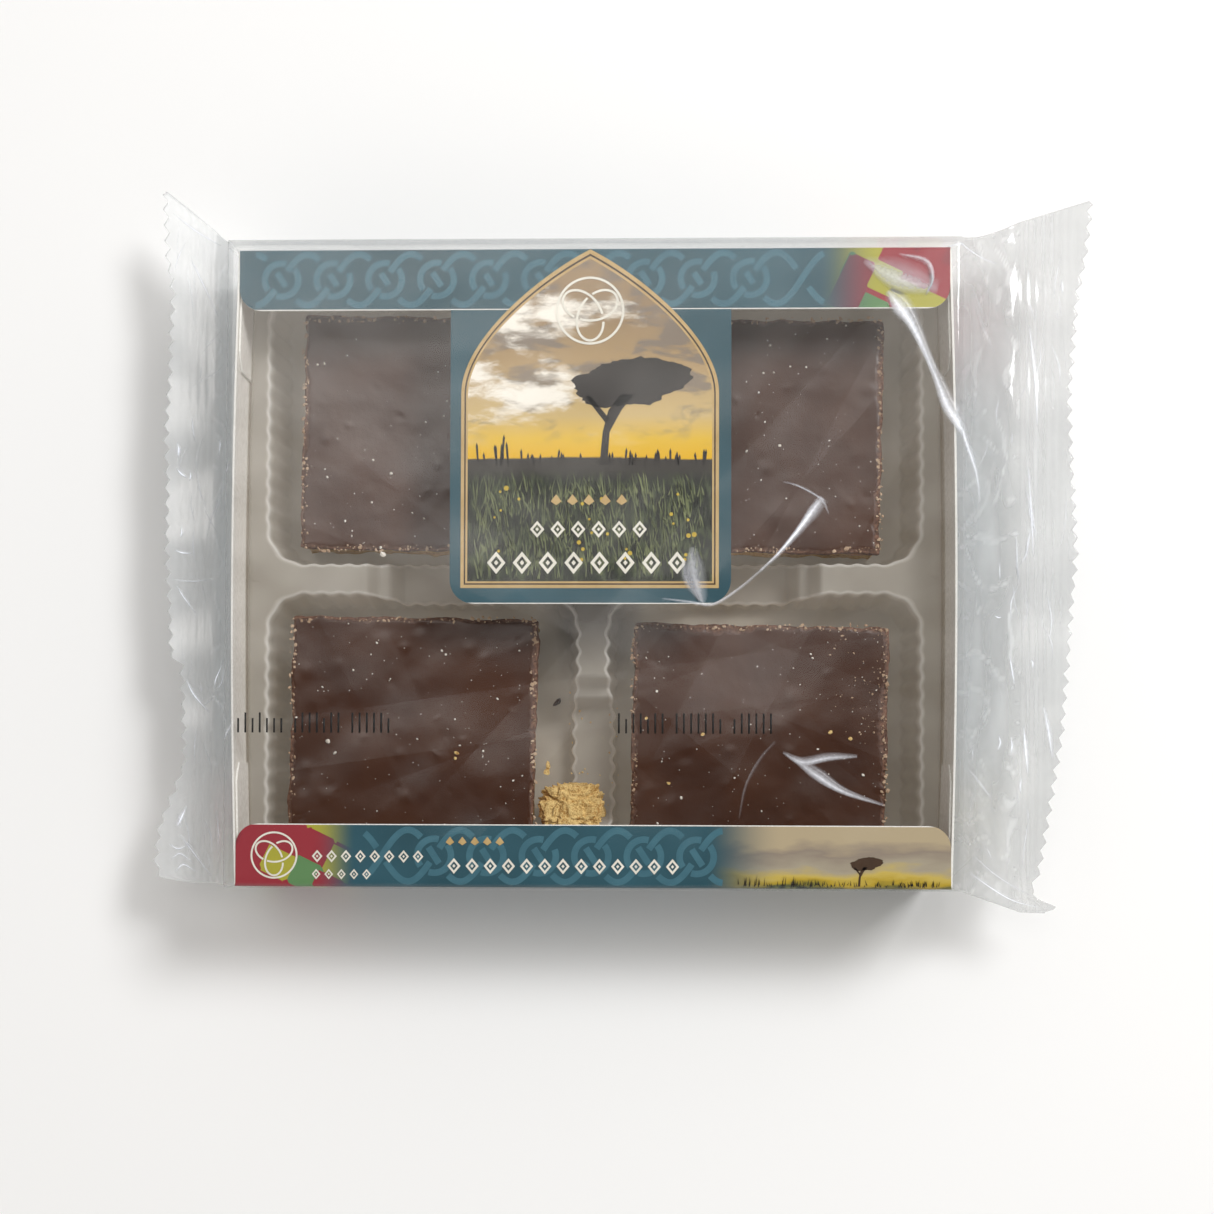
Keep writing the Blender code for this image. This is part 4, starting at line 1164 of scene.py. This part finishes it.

# Folds on the film's top, white partly as painted glints of the light they catch: points (x, y, width) and
# whiteness
PLEATS = (
    (((62.0, 70.4, 2.0), (70.0, 67.0, 8.5), (79.0, 64.0, 4.0)), 0.55),
    (((67.6, 63.4, 2.5), (70.5, 60.0, 5.5), (73.5, 55.2, 3.6), (78.3, 44.2, 1.6)), 0.9),
    (
        ((72.5, 57.0, 1.2), (78.3, 44.2, 2.6), (81.5, 36.7, 4.2), (85.4, 30.3, 3.0), (89.2, 22.8, 1.6),
         (90.2, 16.0, 0.7)), 0.85,
    ),
    (((76.0, 62.0, 0.3), (77.5, 66.0, 1.2), (76.0, 70.0, 1.6), (70.0, 71.6, 0.8)), 0.6),
    (((52.8, 15.6, 2.8), (50.6, 12.6, 3.2), (47.2, 8.2, 2.0), (42.6, 2.9, 1.2), (38.2, -1.2, 0.8)), 0.95),
    (((39.2, -0.4, 0.9), (33.3, -5.3, 0.9), (27.6, -8.7, 0.9), (22.4, -8.2, 0.9), (16.0, -7.4, 0.7)), 0.55),
    (((43.5, 19.5, 0.5), (47.5, 18.3, 0.8), (52.3, 15.4, 0.8), (54.0, 12.0, 0.5)), 0.45),
    (((23.0, 4.5, 2.0), (23.6, -0.5, 5.0), (25.0, -6.6, 3.2), (25.6, -8.4, 1.0)), 0.5),
    (((21.0, 1.5, 1.5), (22.0, -3.0, 3.0), (24.8, -7.6, 1.5)), 0.35),
    (((43.6, -42.4, 0.8), (48.0, -44.4, 2.2), (54.0, -43.4, 2.2), (60.4, -43.2, 1.0)), 0.66),
    (((46.0, -43.6, 1.6), (51.5, -47.4, 3.2), (57.5, -51.2, 1.9), (66.6, -54.4, 0.7)), 0.72),
    (((41.8, -40.0, 0.6), (38.4, -44.0, 0.9), (35.2, -50.0, 0.8), (33.6, -57.6, 0.5)), 0.14),
    (((81.0, 73.4, 0.7), (86.0, 74.2, 0.9), (95.0, 73.6, 0.6)), 0.7),
    (((103.2, 59.0, 0.7), (104.5, 47.0, 1.1), (104.8, 35.0, 0.5)), 0.85),
    (((102.7, 25.6, 0.5), (103.6, 14.0, 1.0), (103.8, 4.2, 0.5)), 0.8),
    (((98.2, -19.0, 0.4), (98.8, -22.4, 0.8), (99.4, -26.2, 0.4)), 0.9),
    (((101.6, -35.6, 0.4), (102.1, -40.6, 1.2), (102.5, -47.2, 0.6)), 0.95),
    (((98.6, -38.2, 0.4), (98.9, -40.4, 0.8), (98.6, -42.4, 0.4)), 0.9),
    (((95.3, -37.8, 0.4), (95.9, -39.8, 1.0), (95.0, -41.6, 0.4)), 0.9),
    (((94.2, -9.8, 0.4), (95.3, -10.2, 0.7), (96.2, -10.0, 0.4)), 0.9),
    (((103.2, -20.0, 0.4), (103.7, -21.0, 0.8), (103.6, -22.2, 0.4)), 0.9),
    (((106.3, -31.0, 0.8), (107.5, -37.0, 1.4), (108.3, -43.4, 0.8)), 0.8),
    (((86.5, -69.5, 0.5), (93.0, -73.5, 0.8), (99.0, -76.8, 0.6), (105.0, -78.4, 0.4)), 0.8),
    (((88.0, -66.0, 0.4), (95.0, -71.0, 0.6), (102.5, -75.4, 0.4)), 0.6),
    (((-97.4, -24.8, 0.6), (-95.4, -28.6, 1.1), (-91.6, -33.0, 0.5)), 0.95),
    (((-90.6, -27.4, 0.4), (-89.9, -24.4, 1.0), (-87.0, -20.8, 0.5)), 0.95),
    (((-90.1, -27.6, 0.4), (-88.0, -25.8, 0.7), (-86.6, -21.4, 0.4)), 0.9),
    (((-99.9, 31.8, 0.4), (-99.4, 30.0, 1.3), (-99.8, 28.0, 0.5)), 0.95),
    (((-100.2, 25.8, 0.5), (-98.9, 24.4, 1.2), (-97.4, 23.4, 0.6)), 0.95),
    (((-96.9, 25.0, 0.4), (-96.7, 23.7, 0.9), (-97.0, 22.6, 0.4)), 0.9),
    (((-89.8, 32.4, 0.4), (-89.2, 31.0, 1.1), (-89.9, 28.4, 0.5)), 0.85),
    (((-98.7, 11.4, 0.4), (-98.5, 10.0, 0.9), (-98.9, 8.8, 0.4)), 0.9),
    (((-100.2, 5.9, 0.4), (-98.4, 5.3, 0.8), (-96.0, 5.1, 0.4)), 0.95),
    (((-100.6, -1.2, 0.4), (-95.8, -1.5, 0.6), (-91.0, -1.0, 0.4)), 0.75),
    (((-99.8, -2.6, 0.4), (-98.0, -5.4, 0.9), (-95.2, -9.2, 0.4)), 0.85),
    (((-99.4, -60.4, 0.9), (-98.3, -58.0, 1.5), (-97.1, -55.4, 0.8)), 0.95),
    (((-101.0, -64.2, 0.4), (-99.0, -65.4, 0.9), (-96.6, -64.6, 0.5)), 0.8),
    (((-100.6, -68.0, 0.4), (-98.4, -66.6, 0.8), (-95.4, -68.8, 0.4)), 0.8),
    (((-99.6, -71.0, 0.4), (-97.6, -69.2, 0.9), (-94.6, -71.0, 0.4)), 0.85),
    (((-97.0, 76.0, 0.6), (-94.0, 70.0, 0.8), (-90.2, 62.0, 0.4)), 0.7),
    (((-98.6, -62.0, 0.8), (-95.0, -66.5, 1.2), (-91.0, -72.0, 0.7)), 0.7),
    (((-101.4, 87.2, 0.4), (-96.0, 83.0, 0.8), (-89.5, 79.0, 0.4)), 0.7),
)


def crumple(x, y, wave, seed):
    """Flat facets that meet in sharp folds, as film crumples."""
    spots = np.column_stack([x, y, np.zeros_like(x)])
    warp = spots + np.column_stack([waves(spots, wave * 1.6, seed) * wave * 0.6] * 2 + [np.zeros_like(x)])
    return np.abs(waves(warp, wave, seed + 1)) + 0.5 * np.abs(waves(warp, wave * 0.5, seed + 2))


def wrap_rows():
    """Each ring of the wrap: its place across X, its front, back, low, high and rounding, how far into the
    fin it is, how nearly it is shut, and its side."""
    rows = []
    low, high = CRIMP_HEIGHT - CRIMP_HALF, CRIMP_HEIGHT + CRIMP_HALF
    taut = (WRAP_FRONT, WRAP_BACK, WRAP_LOW, WRAP_TOP, WRAP_ROUNDING)
    for side, crimp_x, front, back, steps in ((-1, 91.3, -73.6, 83.0, 26), (1, 100.5, -79.6, 83.8, 34)):
        crimp = (front, back, low, high, CRIMP_ROUNDING)
        part = [(side * crimp_x, *crimp, share, 1.0, side) for share in np.linspace(1, 0, 34, endpoint=False)]
        for along in np.linspace(1, 0, steps, endpoint=False):
            closing = math.sin(along * math.pi / 2) ** 0.8
            shares = (along, along, closing, closing, closing)
            form = [a + (b - a) * share for a, b, share in zip(taut, crimp, shares)]
            part.append((side * (WRAP_END + (crimp_x - WRAP_END) * along), *form, 0.0, along**3, side))
        rows += part if side < 0 else part[::-1]
        if side < 0:
            rows += [(x, *taut, 0.0, 0.0, 0) for x in np.linspace(-WRAP_END, WRAP_END, 112)]
    return rows


def make_wrap():
    """The clear bag: taut over the carton, flared and creased at its ends, and sealed in toothed fins."""
    near_edge = np.array((0.0, 0.12, 0.4, 0.8, WRAP_ROUNDING))
    across_count = 176
    rings, shares, shut = [], [], []
    for x, front, back, low, high, rounding, fin, closed, side in wrap_rows():
        depth = back - front
        inner = np.linspace(WRAP_ROUNDING / depth, 1 - WRAP_ROUNDING / depth, across_count)
        across = np.concatenate([near_edge[:-1] / depth, inner, 1 - near_edge[-2::-1] / depth])
        from_edge = np.minimum(across, 1 - across) * depth
        left = np.maximum(0.0, rounding - from_edge)
        drop = rounding - np.sqrt(np.maximum(0.0, rounding**2 - left**2))
        y = front + depth * across
        if fin > 0:
            edge = LEFT_EDGE if side < 0 else RIGHT_EDGE
            reach = edge[0][1] + (edge[-1][1] - edge[0][1]) * across
            y = y + (reach - y) * fin
            place = x + (toothed(y, edge, side) - x) * fin
        else:
            place = np.full_like(y, x)
        top = np.column_stack([place, y, high - drop])
        bottom = np.column_stack([place, y, low + drop])[::-1]
        rise = np.linspace(0, 1, SIDE_STEPS + 2)[1:-1]
        back_side = np.array([top[-1] + (bottom[0] - top[-1]) * share for share in rise])
        front_side = np.array([bottom[-1] + (top[0] - bottom[-1]) * share for share in rise])
        rings.append(np.concatenate([top, back_side, bottom, front_side]))
        shares.append(fin)
        shut.append(closed)
    points = np.array(rings)
    fins = np.array(shares)[:, None] * np.ones(points.shape[1])
    flat = points.reshape(-1, 3)
    fin = fins.reshape(-1)
    sealed = np.repeat(shut, points.shape[1])
    x, y, z = flat.T
    beyond = np.clip((np.abs(x) - 83.0) / 6.0, 0, 1) * (fin == 0)
    is_top = z > CRIMP_HEIGHT
    rough = crumple(x, y, 9.0, 3.0)
    fine = crumple(x, y * 0.5, 3.2, 8.0)
    over_window = crumple(x, y, 26.0, 1.0)
    lift = np.where(is_top, 1.0, -1.0)
    on_box = (np.abs(x) < 83.5) & (z > 36.0)
    crimp = np.sin(2 * math.pi * np.abs(x) / 2.0)
    change = np.where(on_box, -0.05 - 0.16 * over_window, 0.0)
    change += beyond * (1 - sealed) * lift * (0.9 * rough + 0.16 * fine - 0.5)
    sway = waves(np.column_stack([x, y, y * 0]), 16.0, 4)
    change += sealed * 0.9 * sway + (fin > 0) * 0.03 * crimp * np.clip(1.5 - 1.5 * fin, 0, 1)
    z = np.clip(z + change, WRAP_LOW, WRAP_TOP + 0.02)
    clouding = waves(np.column_stack([x * 2.2, y * 0.6, z * 0]), 9.0, 12)
    outside = np.clip((np.abs(x) - 81.8) / 4.0, 0, 1)
    # Painted light: the left end is milkier than the right, so that it shows light in the carton's shadow
    milky = 0.006 + np.where(x < 0, 0.48, 0.31) * outside + 0.07 * outside * clouding
    milky += np.where(x < 0, 0.15, 0.06) * beyond * (1 - sealed)
    milky += 0.05 * (fin > 0) * crimp * np.clip(1.5 - 1.5 * fin, 0, 1)
    milky += 0.16 * beyond * np.clip(1 - rough * 7.0, 0, 1)
    milky = np.maximum(milky, 0.24 * np.clip((y - 72.8) / 1.5, 0, 1))
    milky = np.maximum(milky, 0.05 * np.clip((-72.8 - y) / 1.5, 0, 1))
    points = np.column_stack([x, y, z])
    columns = rings[0].shape[0]
    faces = ring_faces(len(rings), columns)
    top_count = columns // 2 - SIDE_STEPS
    faces += fin_end(0, top_count) + fin_end((len(rings) - 1) * columns, top_count)
    wrap = add_piece("flow_wrap", points, faces, ("film",), ("film_wrap",))
    set_values(wrap, "milkiness", np.clip(milky, 0, 0.95))
    return wrap


def make_seam():
    """The wrap's lengthways seal, folded flat against its underside, with fine ribs across it."""
    points = []
    for x in np.linspace(-74.0, 74.0, 371):
        rib = 0.02 * math.cos(2 * math.pi * x / 1.6)
        points += [(x, y, z + rib) for y, z in ((-25.0, 0.04), (-15.0, 0.04), (-15.0, 0.11), (-25.0, 0.11))]
    faces = ring_faces(len(points) // 4, 4)
    faces += [[0, 1, 2, 3], [len(points) - 4 + i for i in range(4)]]
    seam = add_piece("lengthways_seal", points, faces, ("film",))
    set_values(seam, "milkiness", np.full(len(points), 0.3))


def smooth_line(corners, steps):
    """A curve through the given points, as evenly many steps between each two."""
    corners = np.asarray(corners, float)
    ends = np.concatenate([[2 * corners[0] - corners[1]], corners, [2 * corners[-1] - corners[-2]]])
    line = []
    for a, b, c, d in zip(ends, ends[1:], ends[2:], ends[3:]):
        for t in np.linspace(0, 1, steps, endpoint=False):
            bend, twist = 2 * a - 5 * b + 4 * c - d, 3 * b - a - 3 * c + d
            line.append(0.5 * (2 * b + (c - a) * t + bend * t**2 + twist * t**3))
    return np.array([*line, corners[-1]])


def make_pleats(wrap):
    """Sharp pleats that lie on the film: those seen on its top, and the many small ones at its ends.

    Their white is partly a painted glint.
    """
    draw = random.Random(11)
    pleats = list(PLEATS)
    for side, inner, outer, number in ((-1, 85.0, 100.0, 46), (1, 86.0, 112.0, 52)):
        for _ in range(number):
            x, y = draw.uniform(inner, outer), draw.uniform(-72.0, 80.0)
            turn = draw.gauss(0.0, 0.2 if x > inner + 7 else 0.5)
            length = draw.uniform(2.0, 13.0)
            bend = draw.uniform(-0.1, 0.1) * length
            run = (math.sin(turn) * length / 2, math.cos(turn) * length / 2)
            width = draw.uniform(0.3, 1.0)
            line = (
                (side * (x - run[0]), y - run[1], 0.4 * width),
                (side * (x + bend), y, width),
                (side * (x + run[0]), y + run[1], 0.4 * width),
            )
            pleats.append((line, draw.uniform(0.15, 0.75)))
    # Across a pleat: the place, the share of white, and the height
    profile = ((-0.5, 0, 0.02), (-0.34, 0.5, 0.06), (-0.12, 1, 0.08), (0.14, 0.42, 0.05), (0.5, 0, 0.02))
    points, faces, white = [], [], []
    for corners, milky in pleats:
        line = smooth_line(corners, 9)
        run = np.gradient(line[:, :2], axis=0)
        run /= np.linalg.norm(run, axis=1, keepdims=True)
        across = np.stack([-run[:, 1], run[:, 0]], axis=1)
        taper = np.sin(np.linspace(0.08, math.pi - 0.08, len(line))) ** 0.5
        rings = []
        for place, out in zip(line, across):
            ring = []
            for shift, _, _ in profile:
                spot = place[:2] + out * shift * place[2]
                hit, where, _, _ = wrap.ray_cast(Vector((*(spot * MM), 0.1)), Vector((0.0, 0.0, -1.0)))
                height = where.z / MM if hit and where.z > 0.01 else None
                ring.append([spot[0], spot[1], height])
            rings.append(ring)
        if any(point[2] is None for ring in rings for point in ring):
            continue
        form = []
        for ring, share in zip(rings, taper):
            tops = [[x, y, min(z + lift, 37.38)] for (x, y, z), (_, _, lift) in zip(ring, profile)]
            lows = [[x, y, min(z, 37.34)] for x, y, z in (ring[-1], ring[0])]
            form += tops + lows
            white += [milky * share * shown for _, shown, _ in profile] + [0.0, 0.0]
        ends = [list(range(7)), [len(form) - 7 + i for i in range(7)]]
        join(points, faces, form, ring_faces(len(rings), 7) + ends)
    piece = add_piece("film_pleats", points, faces, ("pleat",))
    set_values(piece, "milkiness", white)


def make_coding():
    """Plain upright bars where a coder prints on the film."""
    points, faces = [], []
    draw = random.Random(5)
    for x in (-84.6, 2.8):
        for number in range(20):
            x += 1.66 if number % 7 else 3.2
            height = draw.choice((4.6, 4.6, 3.3))
            base = -38.2
            bar = ((x, base), (x + 0.42, base), (x + 0.42, base + height), (x, base + height))
            join(points, faces, *prism(bar, WRAP_TOP + 0.03, WRAP_TOP + 0.05))
    add_piece("coder_bars", points, faces, ("coding",))


CEILING_GLOW = 2.9


def light_scene():
    """A pale floor, a softbox to the upper right, and a ceiling that glows more and more towards the back."""
    bpy.ops.mesh.primitive_plane_add(size=6.0, location=(0.0, 0.0, -0.0003))
    floor = bpy.context.object
    floor.name = "studio_floor"
    floor.data.materials.append(pale_floor())
    world = bpy.data.worlds.new("studio")
    bpy.context.scene.world = world
    world.use_nodes = True
    tree = world.node_tree
    x, y, z = node(tree, "SeparateXYZ", {"Vector": node(tree, "TexCoord").outputs["Generated"]}).outputs
    ceiling = tree.nodes["Background"]
    tree.links.new(ramp(tree, z, (0.72, "#D2D0CD"), (0.93, "#2E2D2D")), ceiling.inputs["Color"])
    ceiling.inputs["Strength"].default_value = 1.02
    glow = maths(tree, "MULTIPLY", eased(tree, y, 0.035, 0.26), eased(tree, z, 0.86, 0.93))
    glow = maths(tree, "MULTIPLY", glow, eased(tree, x, 0.2, -0.2, 0.4, 1.3))
    strength = maths(tree, "MULTIPLY", glow, CEILING_GLOW)
    lit_sheet = node(tree, "Background", {"Color": linear("#FFFBF6"), "Strength": strength})
    both = node(tree, "AddShader", {0: ceiling.outputs[0], 1: lit_sheet.outputs[0]})
    tree.links.new(both.outputs[0], tree.nodes["World Output"].inputs["Surface"])
    place = Vector((0.66, 0.58, 1.05))
    lamp = bpy.data.lights.new("key_softbox", "AREA")
    lamp.shape = "SQUARE"
    lamp.size = 0.4
    lamp.energy = 12.6
    softbox = bpy.data.objects.new("key_softbox", lamp)
    bpy.context.scene.collection.objects.link(softbox)
    softbox.location = place
    softbox.rotation_euler = (-place).to_track_quat("-Z", "Y").to_euler()
    bpy.context.scene.view_settings.view_transform = "Standard"


def place_camera():
    lens = bpy.data.cameras.new("camera")
    lens.lens = 60.54
    lens.sensor_width = 36.0
    lens.shift_x = 0.0337
    lens.shift_y = 0.1034
    lens.clip_start = 0.01
    camera = bpy.data.objects.new("camera", lens)
    bpy.context.scene.collection.objects.link(camera)
    camera.location = (0.0090, -0.0502, 0.5033)
    camera.rotation_euler = (math.radians(1.501), math.radians(1.819), math.radians(0.196))
    bpy.context.scene.camera = camera


place_camera()
light_scene()
make_carton()
make_print()
make_tray()
for number, (square, square_middle, square_size) in enumerate(SQUARES):
    make_square(square, square_middle, square_size, number)
make_grains()
make_lump()
make_pleats(make_wrap())
make_seam()
make_coding()
